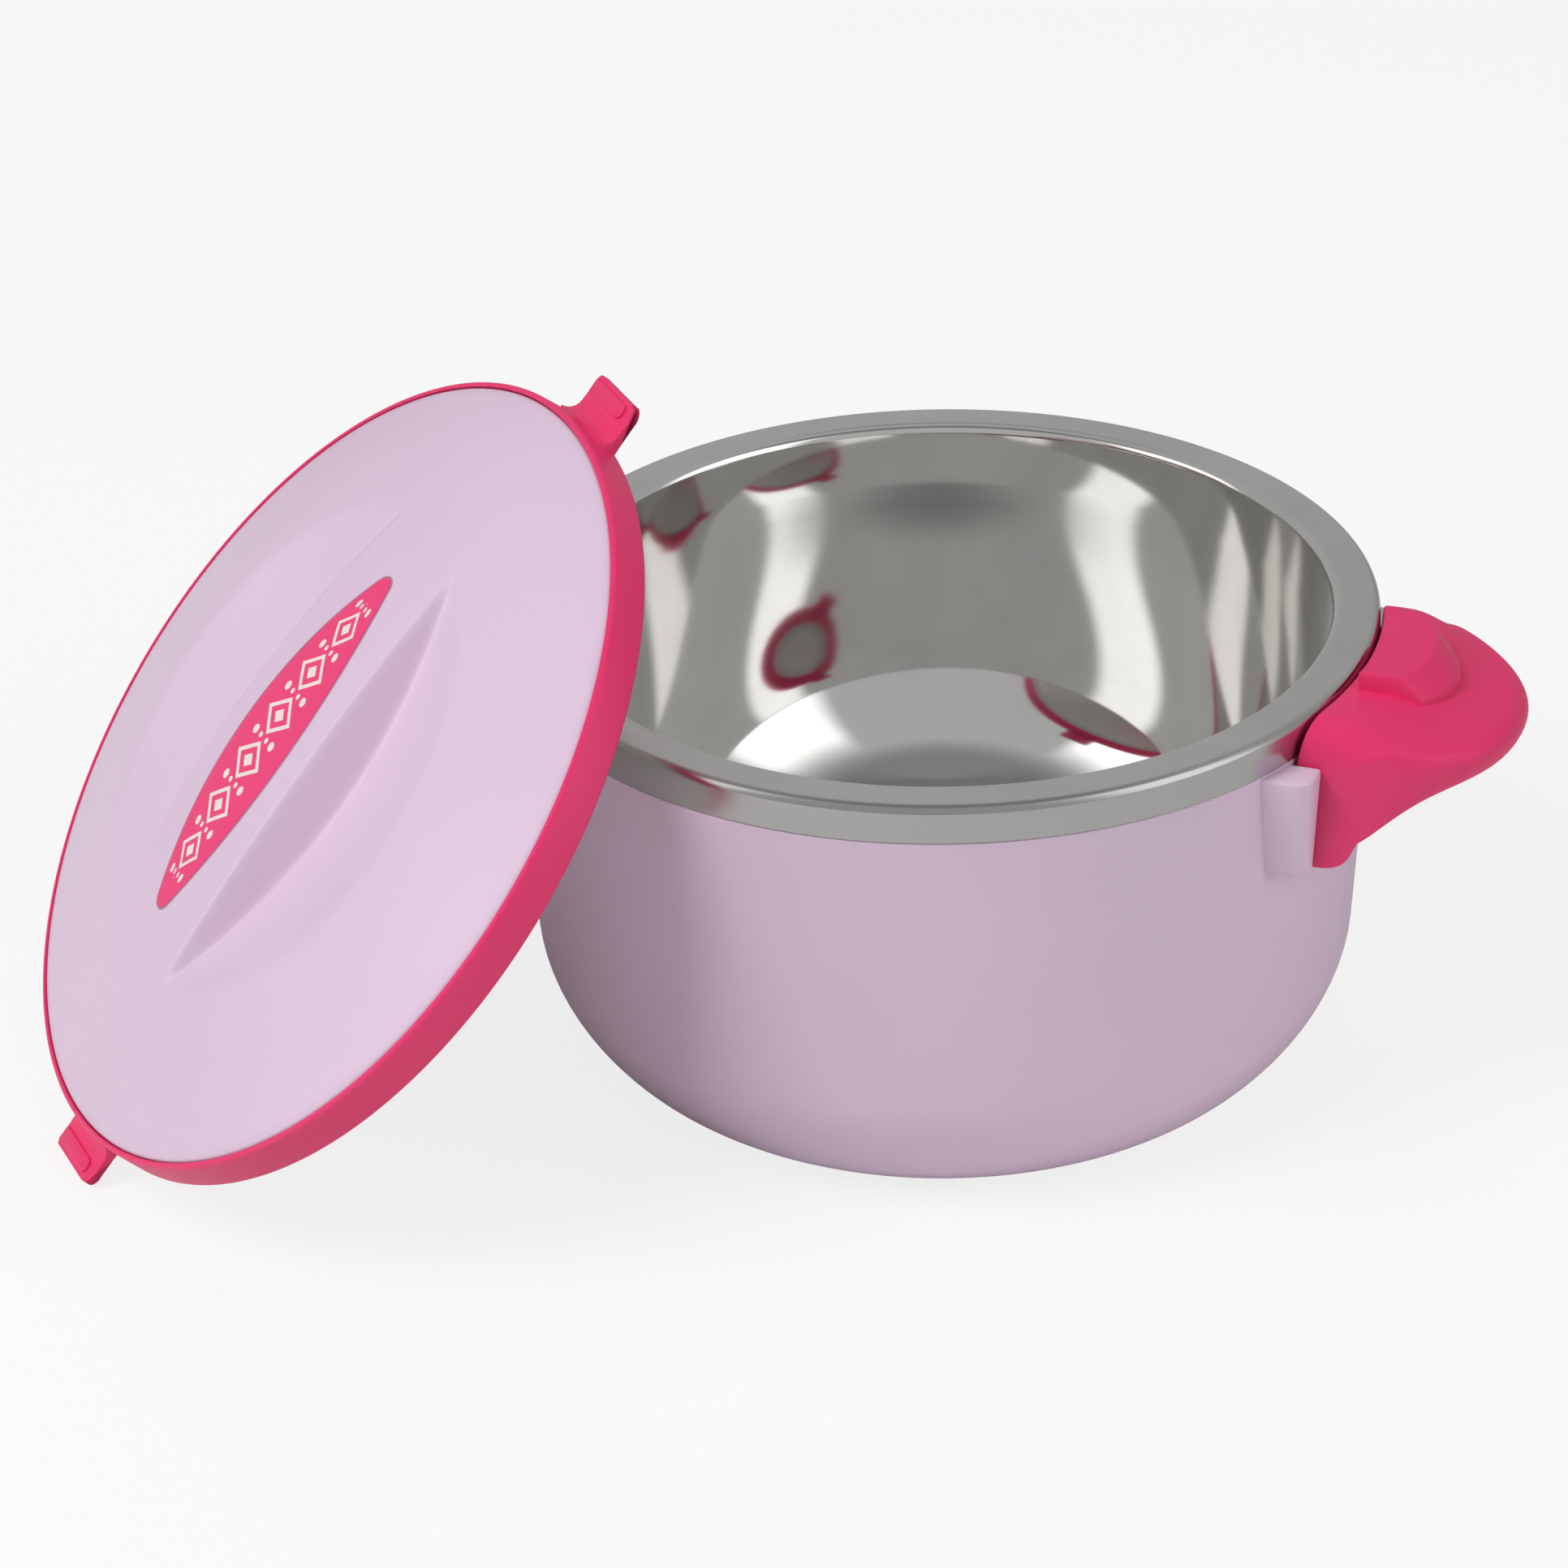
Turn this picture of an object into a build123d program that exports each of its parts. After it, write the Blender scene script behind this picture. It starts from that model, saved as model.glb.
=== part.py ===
from build123d import *
import os
from math import cos, radians, sin, sqrt, tan

# Thermal serving bowl with its lid taken off and leaned against one handle.
# Millimetres, Z up. The origin is the middle of the base, on the table.

# Steel inner bowl
RIM_HEIGHT = 130.0          # top of the steel flange above the table
RIM_RADIUS = 115.3          # outside of the steel rim
RIM_BEND = 2.6              # outside radius of the flange's two bends
RIM_SKIRT = 10.4            # height of the rim's outer wall
RIM_FLANGE = 12.6           # width of the flange, rim to mouth
BOWL_FLOOR = 27.0           # inside floor of the bowl above the table
BOWL_DRAFT = 2.5            # lean of the bowl's wall, degrees
BOWL_BEND = 30.0            # bend between wall and floor, inside
STEEL = 0.8                 # sheet thickness

# Outer shell
SHELL_WALL = 2.2
SHELL_DRAFT = 3.92          # lean of the straight wall, degrees
SHELL_CURVE_HEIGHT = 39.25  # below this the wall curves in to the base
SHELL_CURVE_WALL = 0.387    # pull of the wall on that curve, as a share of its chord
SHELL_CURVE_BASE = 0.245    # pull of the base on that curve
SHELL_STEP = 0.3            # the steel stands this far proud of the shell
BASE_RADIUS = 76.1
BASE_WALL = 4.0
BASE_COVER_RADIUS = 62.0
BASE_COVER = 1.5
FILL_HOLE_RADIUS = 8.0

# Gaps
FIT = 0.15                  # between pieces of one body
RUNNING = 0.4               # between pieces that move past each other
PIVOT_PLAY = 0.08           # around a pivot, on the radius
LEAN_GAP = 0.3              # where the leaning lid meets the table and the left handle

# Handles, in their own frame: X points out from the bowl, Y runs along the rim
HANDLE_AZIMUTH = -21.0      # right handle; the left one is opposite
HANDLE_GAP = 0.7            # from the steel rim
HANDLE_HALF_WIDTH = 41.0
HANDLE_OUT = 42.5           # nose of the handle beyond the steel rim
HANDLE_TOP_DROP = 0.5       # top of the handle below the rim
HANDLE_SHOULDER = 10.4      # rounding of the top's two ends
HANDLE_ROOT_HEIGHT = 40.8
HANDLE_ROOT_DEPTH = 8.0     # root from the rim gap to its outer face
HANDLE_NOSE_THICKNESS = 11.2
HANDLE_NOSE_DROP = 8.2      # top of the nose below the rim
HANDLE_FLANK = 0.55         # from above, the sides take up this share of the depth
HANDLE_CORNER = 0.77        # corner between side and nose, as a share of the depth
HANDLE_TIP = 0.186          # rounded tip of the nose, as a share of the depth
HANDLE_LEVEL = 0.22         # level part of the top, as a share of its depth
HANDLE_TAPER = 8.0          # each side draws in by this much before the nose corner
HANDLE_BOW = 0.5            # from above, the nose would bow out this far beyond its straight tip

# Catch block with its pocket, on top of each handle
CATCH_BACK = 3.3            # from the handle's inner edge
CATCH_HALF_WIDTH = 16.0
CATCH_HEIGHT = 4.2          # above the rim
CATCH_FLAT = 9.1            # flat part of its top, measured outwards
CATCH_BEVEL = 8.6           # sloping part beyond the flat
CATCH_BULGE = 3.5           # how far the outer edge bows out
CATCH_DRAW_IN = 3.0         # each end draws in by this much, going out
CATCH_ROOF = 1.1

# Pivots between handle and ears
PIVOT_DROP = 29.0           # below the rim
PIVOT_OUT = 1.96            # outside the rim line at the handle's end
PIVOT_RADIUS = 2.0
PIVOT_LENGTH = 4.6
EAR_WIDTH = 11.0
EAR_HEIGHT = 29.4
EAR_DROP = 1.0              # top of the ears below the steel skirt
EAR_PROUD = 7.0             # stands out from the handle end's rim line by this much
EAR_CORNER = 5.5            # rounding of the ear's outer corner
EAR_TAPER = 5.0             # its far side draws in by this much towards its foot
EAR_LEAN = 1.8              # and its outer face by this much
EAR_ROUND = 1.0

# Lid, in its own frame: Z is its axis, X runs along the grip, Z = 0 is the ring's underside
RING_INSET = 1.8            # ring from the outside of the steel rim
RING_HEIGHT = 10.8
RING_TAPER = 0.5
RING_LIP = 1.5              # visible top edge of the ring
RING_LEDGE = 8.6            # ledge that carries the cover
RING_LEDGE_WIDTH = 4.0
RING_FLOOR = 2.2            # thickness of the inward flange at the ring's underside
RING_FLANGE = 8.05          # width of that flange
RING_ROUND = 1.1
COVER_WALL = 2.2
COVER_EDGE = 10.4           # height of the cover at its edge
COVER_BRIM = 42.35          # from the cover's edge to the dish
COVER_SHOULDER = 23.0       # height of the cover around the dish
COVER_TOP = 29.0            # height of the grip's middle
DISH_FLOOR = 14.0           # height of the dish at the lid's middle
GRIP_HALF_WIDTH = 23.5
GRIP_END_HALF_WIDTH = 16.8
GRIP_DRAFT = 24.0           # lean of the grip's sides, degrees
INLAY_HALF_LENGTH = 57.0    # to where its two edges would meet
INLAY_HALF_WIDTH = 14.3
INLAY_TIP = 3.5             # rounding of its two ends
INLAY_THICKNESS = 1.2
INLAY_PROUD = 0.25
LINER_DEPTH = 3.2           # the liner hangs this far below the ring's underside
LINER_SHEET = 1.0
LINER_FLANGE = 6.0
LINER_ROUND = 1.8           # at its lower edge
FOAM_HEIGHT = 9.0           # top of the lid's foam disc
SEAL_WIDTH = 3.05
SEAL_HEIGHT = 3.2
SEAL_LIP = 1.1
TAB_REACH = 12.0            # beyond the ring
TAB_HALF_WIDTH = 13.3
TAB_THICKNESS = 2.0
TAB_ROOT_BEND = 5.0
TAB_CORNER = 2.5
TAB_BAR_WIDTH = 3.4
TAB_BAR_HEIGHT = 0.8
TAB_BAR_SHORT = 4.0         # the bar stops this far before one side

# Where the lid leans
LEAN_TILT = 49.25           # lid's axis from the vertical, degrees
LEAN_AZIMUTH = 201.3        # direction the lid's top faces, seen from above
LEAN_SPIN = -1.5            # grip from the line of steepest slope
LEAN_SHIFT = -25.6          # sideways from the bowl's axis

# Worked out from the sizes above
MOUTH_RADIUS = RIM_RADIUS - RIM_FLANGE
BOWL_FLOOR_RADIUS = MOUTH_RADIUS - (RIM_HEIGHT - BOWL_FLOOR) * tan(radians(BOWL_DRAFT))
STEEL_HIDDEN_BEND = RIM_BEND - STEEL
SKIRT_BOTTOM = RIM_HEIGHT - RIM_SKIRT
SHELL_TOP_RADIUS = RIM_RADIUS - SHELL_STEP
NECK_RADIUS = RIM_RADIUS - STEEL - FIT
NECK_TOP = RIM_HEIGHT - STEEL - FIT
HANDLE_INNER = RIM_RADIUS + HANDLE_GAP
HANDLE_REACH = RIM_RADIUS + HANDLE_OUT
HANDLE_ROOT = HANDLE_INNER + HANDLE_ROOT_DEPTH
HANDLE_DEPTH = HANDLE_REACH - HANDLE_ROOT
HANDLE_TOP = RIM_HEIGHT - HANDLE_TOP_DROP
HANDLE_BOTTOM = RIM_HEIGHT - HANDLE_ROOT_HEIGHT
NOSE_TOP = RIM_HEIGHT - HANDLE_NOSE_DROP
PIVOT_HEIGHT = RIM_HEIGHT - PIVOT_DROP
EAR_FACE = HANDLE_HALF_WIDTH + RUNNING
END_RIM_LINE = sqrt(HANDLE_INNER**2 - EAR_FACE**2)
PIVOT_REACH = END_RIM_LINE + PIVOT_OUT
RING_RADIUS = RIM_RADIUS - RING_INSET
COVER_RADIUS = RING_RADIUS - RING_TAPER - RING_LIP - FIT
COVER_SHOULDER_RADIUS = COVER_RADIUS - COVER_BRIM
RING_INNER = COVER_RADIUS + FIT - RING_LEDGE_WIDTH
TAB_TIP = RING_RADIUS + TAB_REACH
RING_MOUTH = RING_INNER - RING_FLANGE
LINER_RADIUS = RING_MOUTH - FIT
SEAL_RADIUS = RING_MOUTH + SEAL_WIDTH
LID_TABS = (1, -1)
HANDLE_SIDES = {"right_handle": HANDLE_AZIMUTH, "left_handle": HANDLE_AZIMUTH + 180}


def corner(sketch, x, y, radius):
    """Round the corner of a flat outline that lies nearest to a point."""
    vertex = sketch.vertices().sort_by_distance((x, y, 0))[0]
    return fillet(vertex, radius)


def turned(section):
    """Turn a half section, drawn as radius and height, about the vertical axis."""
    return revolve(Plane.XZ * section, Axis.Z)


def bowl_section():
    """Half section of the steel bowl: floor, wall, flange and outer skirt."""
    floor_under = BOWL_FLOOR - STEEL
    points = [
        (0, BOWL_FLOOR),
        (BOWL_FLOOR_RADIUS, BOWL_FLOOR),
        (MOUTH_RADIUS, RIM_HEIGHT),
        (RIM_RADIUS, RIM_HEIGHT),
        (RIM_RADIUS, SKIRT_BOTTOM),
        (RIM_RADIUS - STEEL, SKIRT_BOTTOM),
        (RIM_RADIUS - STEEL, RIM_HEIGHT - STEEL),
        (MOUTH_RADIUS + STEEL, RIM_HEIGHT - STEEL),
        (BOWL_FLOOR_RADIUS + STEEL, floor_under),
        (0, floor_under),
    ]
    section = make_face(Polyline(*points, close=True))
    section = corner(section, BOWL_FLOOR_RADIUS, BOWL_FLOOR, BOWL_BEND)
    section = corner(section, BOWL_FLOOR_RADIUS + STEEL, floor_under, BOWL_BEND + STEEL)
    section = corner(section, MOUTH_RADIUS, RIM_HEIGHT, RIM_BEND)
    section = corner(section, RIM_RADIUS, RIM_HEIGHT, RIM_BEND)
    section = corner(section, RIM_RADIUS - STEEL, RIM_HEIGHT - STEEL, STEEL_HIDDEN_BEND)
    return corner(section, MOUTH_RADIUS + STEEL, RIM_HEIGHT - STEEL, STEEL_HIDDEN_BEND)


def shell_section(wall, base, top):
    """Half section of the room inside the shell's outer surface, a wall's thickness in."""
    lean = tan(radians(SHELL_DRAFT))
    high = SKIRT_BOTTOM
    low = SHELL_CURVE_HEIGHT
    wide = SHELL_TOP_RADIUS - wall
    waist = wide - (high - low) * lean
    neck = NECK_RADIUS - wall
    start = Vector(waist, low)
    end = Vector(BASE_RADIUS - wall, base)
    chord = (end - start).length
    wall_pull = start - Vector(lean, 1).normalized() * SHELL_CURVE_WALL * chord
    base_pull = end + Vector(1, 0) * SHELL_CURVE_BASE * chord
    curve = Bezier(start, wall_pull, base_pull, end)
    outline = [
        Polyline((BASE_RADIUS - wall, base), (0, base), (0, top), (neck, top), (neck, high)),
        Polyline((neck, high), (wide, high), (waist, low)),
        curve,
    ]
    return make_face(outline)


def bowl_room_section(gap):
    """Half section of the room that the steel bowl takes up, with a gap all round."""
    floor_under = BOWL_FLOOR - STEEL - gap
    wall = STEEL + gap
    points = [
        (0, floor_under),
        (BOWL_FLOOR_RADIUS + wall, floor_under),
        (MOUTH_RADIUS + wall, RIM_HEIGHT),
        (0, RIM_HEIGHT),
    ]
    section = make_face(Polyline(*points, close=True))
    return corner(section, BOWL_FLOOR_RADIUS + wall, floor_under, BOWL_BEND + wall)


def ear(side):
    """One of the two ears that carry a handle, in the handle's frame."""
    face = EAR_FACE
    far = face + EAR_WIDTH
    outer = END_RIM_LINE + EAR_PROUD
    inner = sqrt((SHELL_TOP_RADIUS - SHELL_WALL) ** 2 - far**2) - EAR_CORNER
    sections = []
    for level, draw_in, back in ((0, EAR_TAPER, EAR_LEAN), (EAR_HEIGHT, 0, 0)):
        side_line = far - draw_in
        front = outer - back
        points = [(inner, face), (front, face), (front, side_line), (inner, side_line)]
        outline = corner(make_face(Polyline(*points, close=True)), front, side_line, EAR_CORNER - draw_in / 2)
        sections.append(Pos(0, 0, level) * outline)
    block = loft(sections)
    rims = block.edges().group_by(Axis.Z)[-1] + block.edges().group_by(Axis.Z)[0]
    block = fillet(rims.filter_by(lambda e: e.center().X > inner + EAR_ROUND), EAR_ROUND)
    block = Pos(0, 0, SKIRT_BOTTOM - EAR_DROP - EAR_HEIGHT) * block
    bore_depth = PIVOT_LENGTH + RUNNING
    bore = Cylinder(PIVOT_RADIUS + PIVOT_PLAY, bore_depth, rotation=(90, 0, 0))
    block -= Pos(PIVOT_REACH, face + bore_depth / 2, PIVOT_HEIGHT) * bore
    return block if side > 0 else mirror(block, Plane.XZ)


def outer_shell():
    outline = corner(shell_section(0, 0, NECK_TOP), NECK_RADIUS, NECK_TOP, STEEL_HIDDEN_BEND)
    body = turned(outline)
    for azimuth in HANDLE_SIDES.values():
        for side in (1, -1):
            body += Rot(0, 0, azimuth) * ear(side)
    body -= turned(shell_section(SHELL_WALL, BASE_WALL, RIM_HEIGHT))
    recess = BASE_COVER
    body -= Pos(0, 0, recess / 2) * Cylinder(BASE_COVER_RADIUS + FIT, recess)
    body -= Pos(0, 0, BASE_WALL / 2) * Cylinder(FILL_HOLE_RADIUS, BASE_WALL)
    return body


def base_cover():
    return Pos(0, 0, BASE_COVER / 2) * Cylinder(BASE_COVER_RADIUS, BASE_COVER)


def body_insulation():
    foam = turned(shell_section(SHELL_WALL + FIT, BASE_WALL, RIM_HEIGHT - RIM_BEND))
    return foam - turned(bowl_room_section(FIT))


def handle_side_profile():
    """Outline of a handle seen along the rim: root, S-curved underside, nose and top."""
    nose_low = NOSE_TOP - HANDLE_NOSE_THICKNESS
    half = HANDLE_NOSE_THICKNESS / 2
    tip = HANDLE_REACH - HANDLE_TIP * HANDLE_DEPTH
    level_end = HANDLE_INNER + HANDLE_LEVEL * (HANDLE_REACH - HANDLE_INNER)
    back = PIVOT_REACH - HANDLE_ROOT_DEPTH
    heel = HANDLE_BOTTOM + HANDLE_ROOT_DEPTH / 2
    top = Spline(
        (level_end, HANDLE_TOP),
        (tip, NOSE_TOP),
        tangents=[(1, 0), (1, -0.35)],
    )
    nose = ThreePointArc((tip, NOSE_TOP), (HANDLE_REACH, NOSE_TOP - half), (tip, nose_low))
    under = Spline((tip, nose_low), (HANDLE_ROOT, heel), tangents=[(-1, -0.25), (-0.3, -1)])
    rest = Polyline(
        (HANDLE_ROOT, heel),
        (HANDLE_ROOT - HANDLE_ROOT_DEPTH / 4, HANDLE_BOTTOM),
        (back, HANDLE_BOTTOM),
        (back, HANDLE_TOP),
        (level_end, HANDLE_TOP),
    )
    return make_face([top, nose, under, rest])


def handle_plan():
    """Outline of a handle seen from above: rim line, straight sides and rounded nose."""
    side = HANDLE_HALF_WIDTH
    back = PIVOT_REACH - HANDLE_ROOT_DEPTH
    narrow = side - HANDLE_TAPER
    flank = HANDLE_ROOT + HANDLE_FLANK * HANDLE_DEPTH
    nose = ThreePointArc((flank, narrow), (HANDLE_REACH + HANDLE_BOW, 0), (flank, -narrow))
    rest = Polyline(
        (flank, -narrow),
        (HANDLE_ROOT, -side),
        (back, -side),
        (back, side),
        (HANDLE_ROOT, side),
        (flank, narrow),
    )
    outline = make_face([nose, rest])
    for y in (narrow, -narrow):
        outline = corner(outline, flank, y, HANDLE_CORNER * HANDLE_DEPTH)
    return outline


def handle_front():
    """Outline of a handle seen from the front: two shoulders over straight sides."""
    width = 2 * HANDLE_HALF_WIDTH
    height = HANDLE_TOP - HANDLE_BOTTOM
    outline = Pos(0, (HANDLE_TOP + HANDLE_BOTTOM) / 2) * Rectangle(width, height)
    for y in (HANDLE_HALF_WIDTH, -HANDLE_HALF_WIDTH):
        outline = corner(outline, y, HANDLE_TOP, HANDLE_SHOULDER)
    return outline


def catch_block():
    """Block on the handle's top whose pocket takes one of the lid's tabs."""
    inner = HANDLE_INNER + CATCH_BACK
    flat = inner + CATCH_FLAT
    outer = flat + CATCH_BEVEL
    high = RIM_HEIGHT + CATCH_HEIGHT
    low = NOSE_TOP - HANDLE_NOSE_THICKNESS / 2
    slope = CATCH_HEIGHT + HANDLE_TOP_DROP + HANDLE_NOSE_DROP / 2
    end = CATCH_HALF_WIDTH - CATCH_DRAW_IN
    edge = ThreePointArc((outer - CATCH_BULGE, end), (outer, 0), (outer - CATCH_BULGE, -end))
    back = sqrt(inner**2 - CATCH_HALF_WIDTH**2)
    rest = Polyline(
        (outer - CATCH_BULGE, -end),
        (back, -CATCH_HALF_WIDTH),
        (back, CATCH_HALF_WIDTH),
        (outer - CATCH_BULGE, end),
    )
    plan = Pos(0, 0, low) * extrude(make_face([edge, rest]), high - low)
    side = [(0, low), (0, high), (flat, high), (outer, high - slope), (outer, low)]
    profile = extrude(Plane.XZ * make_face(Polyline(*side, close=True)), CATCH_HALF_WIDTH, both=True)
    return plan & profile


def handle():
    """Handle in its own frame, with its catch block, pocket and two pivot stubs."""
    wide = 2 * HANDLE_HALF_WIDTH
    body = extrude(Plane.XZ * handle_side_profile(), wide, both=True)
    body &= extrude(handle_plan(), RIM_HEIGHT)
    body &= extrude(Plane.YZ * handle_front(), 2 * HANDLE_REACH)
    body += catch_block()
    body -= Pos(0, 0, RIM_HEIGHT / 2) * Cylinder(HANDLE_INNER, 2 * RIM_HEIGHT)
    room = TAB_THICKNESS + TAB_BAR_HEIGHT + RUNNING
    pocket_top = RIM_HEIGHT + CATCH_HEIGHT - CATCH_ROOF
    pocket_end = TAB_TIP + 2 * RUNNING
    pocket = Box(pocket_end, 2 * (TAB_HALF_WIDTH + RUNNING), room)
    body -= Pos(pocket_end / 2, 0, pocket_top - room / 2) * pocket
    stub = Cylinder(PIVOT_RADIUS, PIVOT_LENGTH + RUNNING, rotation=(90, 0, 0))
    for side in (1, -1):
        middle = side * (HANDLE_HALF_WIDTH + (PIVOT_LENGTH + RUNNING) / 2)
        body += Pos(PIVOT_REACH, middle, PIVOT_HEIGHT) * stub
    return body


def dome(inset):
    """Lid cover's dome as a solid, its surface moved in by an inset."""
    edge = COVER_RADIUS - max(inset, 0)
    foot = RING_LEDGE if inset <= 0 else RING_FLOOR
    top = Spline(
        (0, COVER_TOP - inset),
        (COVER_SHOULDER_RADIUS, COVER_SHOULDER - inset),
        (edge, COVER_EDGE - inset),
        tangents=[(1, 0), (1, -0.36)],
        tangent_scalars=[1, 1],
    )
    rest = Polyline((edge, COVER_EDGE - inset), (edge, foot), (0, foot), (0, COVER_TOP - inset))
    return turned(make_face([top, rest]))


def grip_strip(inset):
    """Prism of the grip that crosses the dish, with its sides leaning in upwards."""
    lean = tan(radians(GRIP_DRAFT)) * COVER_TOP
    reach = COVER_SHOULDER_RADIUS + 2 * COVER_WALL + lean
    narrowing = (GRIP_HALF_WIDTH - GRIP_END_HALF_WIDTH) * (reach / COVER_SHOULDER_RADIUS) ** 2
    middle = GRIP_HALF_WIDTH + lean - inset
    end = middle - narrowing
    outline = make_face(
        [
            ThreePointArc((-reach, -end), (0, -middle), (reach, -end)),
            Line((reach, -end), (reach, end)),
            ThreePointArc((reach, end), (0, middle), (-reach, end)),
            Line((-reach, end), (-reach, -end)),
        ]
    )
    return extrude(outline, COVER_TOP, taper=GRIP_DRAFT)


def cover_form(inset):
    """Cover's outer or inner form: the dome with its round dish and the grip across it."""
    rise = COVER_SHOULDER - DISH_FLOOR
    dish_radius = (COVER_SHOULDER_RADIUS**2 + rise**2) / (2 * rise)
    dish = Pos(0, 0, DISH_FLOOR + dish_radius) * Sphere(dish_radius + inset)
    return dome(inset) - (dish - grip_strip(inset))


def inlay_outline(grow):
    """Pointed oval with rounded tips, for the inlay and its recess."""
    half = INLAY_HALF_LENGTH + grow
    wide = INLAY_HALF_WIDTH + grow
    outline = make_face(
        [
            ThreePointArc((-half, 0), (0, wide), (half, 0)),
            ThreePointArc((half, 0), (0, -wide), (-half, 0)),
        ]
    )
    for x in (half, -half):
        outline = corner(outline, x, 0, INLAY_TIP)
    return extrude(outline, 2 * COVER_TOP)


def lid_cover():
    cover = cover_form(0) - cover_form(COVER_WALL)
    return cover - (inlay_outline(FIT) - dome(INLAY_THICKNESS))


def lid_inlay():
    return (inlay_outline(0) & dome(-INLAY_PROUD)) - dome(INLAY_THICKNESS)


def tab(side):
    """One of the ring's two tabs: a plate with a hollow root and a raised bar."""
    wide = 2 * TAB_HALF_WIDTH
    start = RING_INNER + RING_LEDGE_WIDTH / 2
    outline = Rectangle(TAB_TIP - start, wide, align=(Align.MIN, Align.CENTER))
    for y in (TAB_HALF_WIDTH, -TAB_HALF_WIDTH):
        outline = corner(outline, TAB_TIP - start, y, TAB_CORNER)
    plate = Pos(start, 0, 0) * extrude(outline, TAB_THICKNESS)
    wall = RING_RADIUS - RING_TAPER
    bend_end = RING_RADIUS + TAB_ROOT_BEND
    bend_top = TAB_THICKNESS + TAB_ROOT_BEND
    root = make_face(
        [
            Polyline((bend_end, TAB_THICKNESS), (start, TAB_THICKNESS), (start, bend_top)),
            Line((start, bend_top), (wall, bend_top)),
            RadiusArc((wall, bend_top), (bend_end, TAB_THICKNESS), -1.05 * TAB_ROOT_BEND),
        ]
    )
    plate += extrude(Plane.XZ * root, TAB_HALF_WIDTH - TAB_CORNER, both=True)
    bar_length = wide - TAB_BAR_SHORT - TAB_CORNER
    bar = extrude(SlotOverall(bar_length, TAB_BAR_WIDTH, rotation=90), TAB_BAR_HEIGHT)
    bar_middle = TAB_HALF_WIDTH - TAB_CORNER - bar_length / 2
    plate += Pos(TAB_TIP - TAB_BAR_WIDTH / 2 - TAB_BAR_HEIGHT, bar_middle, TAB_THICKNESS) * bar
    return plate if side > 0 else mirror(plate, Plane.YZ)


def lid_ring():
    lip = COVER_RADIUS + FIT
    points = [
        (RING_RADIUS, 0),
        (RING_RADIUS - RING_TAPER, RING_HEIGHT),
        (lip, RING_HEIGHT),
        (lip, RING_LEDGE),
        (RING_INNER, RING_LEDGE),
        (RING_INNER, RING_FLOOR),
        (RING_MOUTH, RING_FLOOR),
        (RING_MOUTH, 0),
    ]
    section = make_face(Polyline(*points, close=True))
    section = corner(section, RING_RADIUS - RING_TAPER, RING_HEIGHT, RING_ROUND)
    ring = turned(section)
    for side in LID_TABS:
        ring += tab(side)
    return ring


def lid_liner():
    """Pan under the lid that sinks into the bowl's mouth, with a flange that lies on the ring."""
    inner = LINER_RADIUS - LINER_SHEET
    flange = LINER_RADIUS + LINER_FLANGE
    low = -LINER_DEPTH
    seat = RING_FLOOR
    points = [
        (0, low),
        (LINER_RADIUS, low),
        (LINER_RADIUS, seat),
        (flange, seat),
        (flange, seat + LINER_SHEET),
        (inner, seat + LINER_SHEET),
        (inner, low + LINER_SHEET),
        (0, low + LINER_SHEET),
    ]
    section = make_face(Polyline(*points, close=True))
    section = corner(section, LINER_RADIUS, low, LINER_ROUND)
    return turned(corner(section, inner, low + LINER_SHEET, LINER_ROUND - LINER_SHEET))


def lid_insulation():
    """Foam disc that lies in the liner."""
    low = LINER_SHEET - LINER_DEPTH
    radius = LINER_RADIUS - LINER_ROUND - FIT
    return Pos(0, 0, (low + FOAM_HEIGHT) / 2) * Cylinder(radius, FOAM_HEIGHT - low)


def lid_seal():
    """Rubber seal around the liner, flat against the lid ring's underside, with a lip."""
    points = [
        (RING_MOUTH, 0),
        ((RING_MOUTH + SEAL_RADIUS) / 2, 0),
        (SEAL_RADIUS, -SEAL_LIP),
        (SEAL_RADIUS, -2 * SEAL_LIP),
        (RING_MOUTH, -SEAL_HEIGHT),
    ]
    return turned(make_face(Polyline(*points, close=True)))


def lean(pieces, bowl_pieces):
    """Stand the lid on its lower tab and lean its liner on whatever it meets first."""
    tilt = radians(LEAN_TILT)
    faces = radians(LEAN_AZIMUTH)
    spin = radians(LEAN_SPIN)
    out = Vector(cos(faces), sin(faces), 0)
    level = Vector(-sin(faces), cos(faces), 0)
    axis = out * sin(tilt) + Vector(0, 0, cos(tilt))
    grip = axis.cross(level) * cos(spin) + level * sin(spin)
    turn = Plane(origin=(0, 0, 0), x_dir=grip, z_dir=axis).location
    height = LEAN_GAP - (turn * pieces["lid_ring"]).bounding_box().min.Z
    first_met = max((turn.inverse() * piece).bounding_box().max.Z for piece in bowl_pieces)
    reach = (first_met + LINER_DEPTH + LEAN_GAP - height * cos(tilt)) / sin(tilt)
    place = Pos(out * reach + level * LEAN_SHIFT + Vector(0, 0, height)) * turn
    return {name: place * piece for name, piece in pieces.items()}


def main():
    pieces = {
        "inner_bowl": turned(bowl_section()),
        "outer_shell": outer_shell(),
        "body_insulation": body_insulation(),
        "base_cover": base_cover(),
    }
    grip = handle()
    for name, azimuth in HANDLE_SIDES.items():
        pieces[name] = Rot(0, 0, azimuth) * grip
    pieces |= lean(
        {
            "lid_ring": lid_ring(),
            "lid_cover": lid_cover(),
            "lid_inlay": lid_inlay(),
            "lid_liner": lid_liner(),
            "lid_insulation": lid_insulation(),
            "lid_seal": lid_seal(),
        },
        [pieces["inner_bowl"], pieces["left_handle"]],
    )
    os.makedirs("parts", exist_ok=True)
    for name, piece in pieces.items():
        export_step(piece, f"parts/{name}.step")


main()
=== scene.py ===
from math import cos, hypot, pi, radians, sin, sqrt, tan

import bmesh
import bpy
from bpy.props import FloatProperty, FloatVectorProperty, IntProperty, PointerProperty
from mathutils import Matrix, Vector


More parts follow.
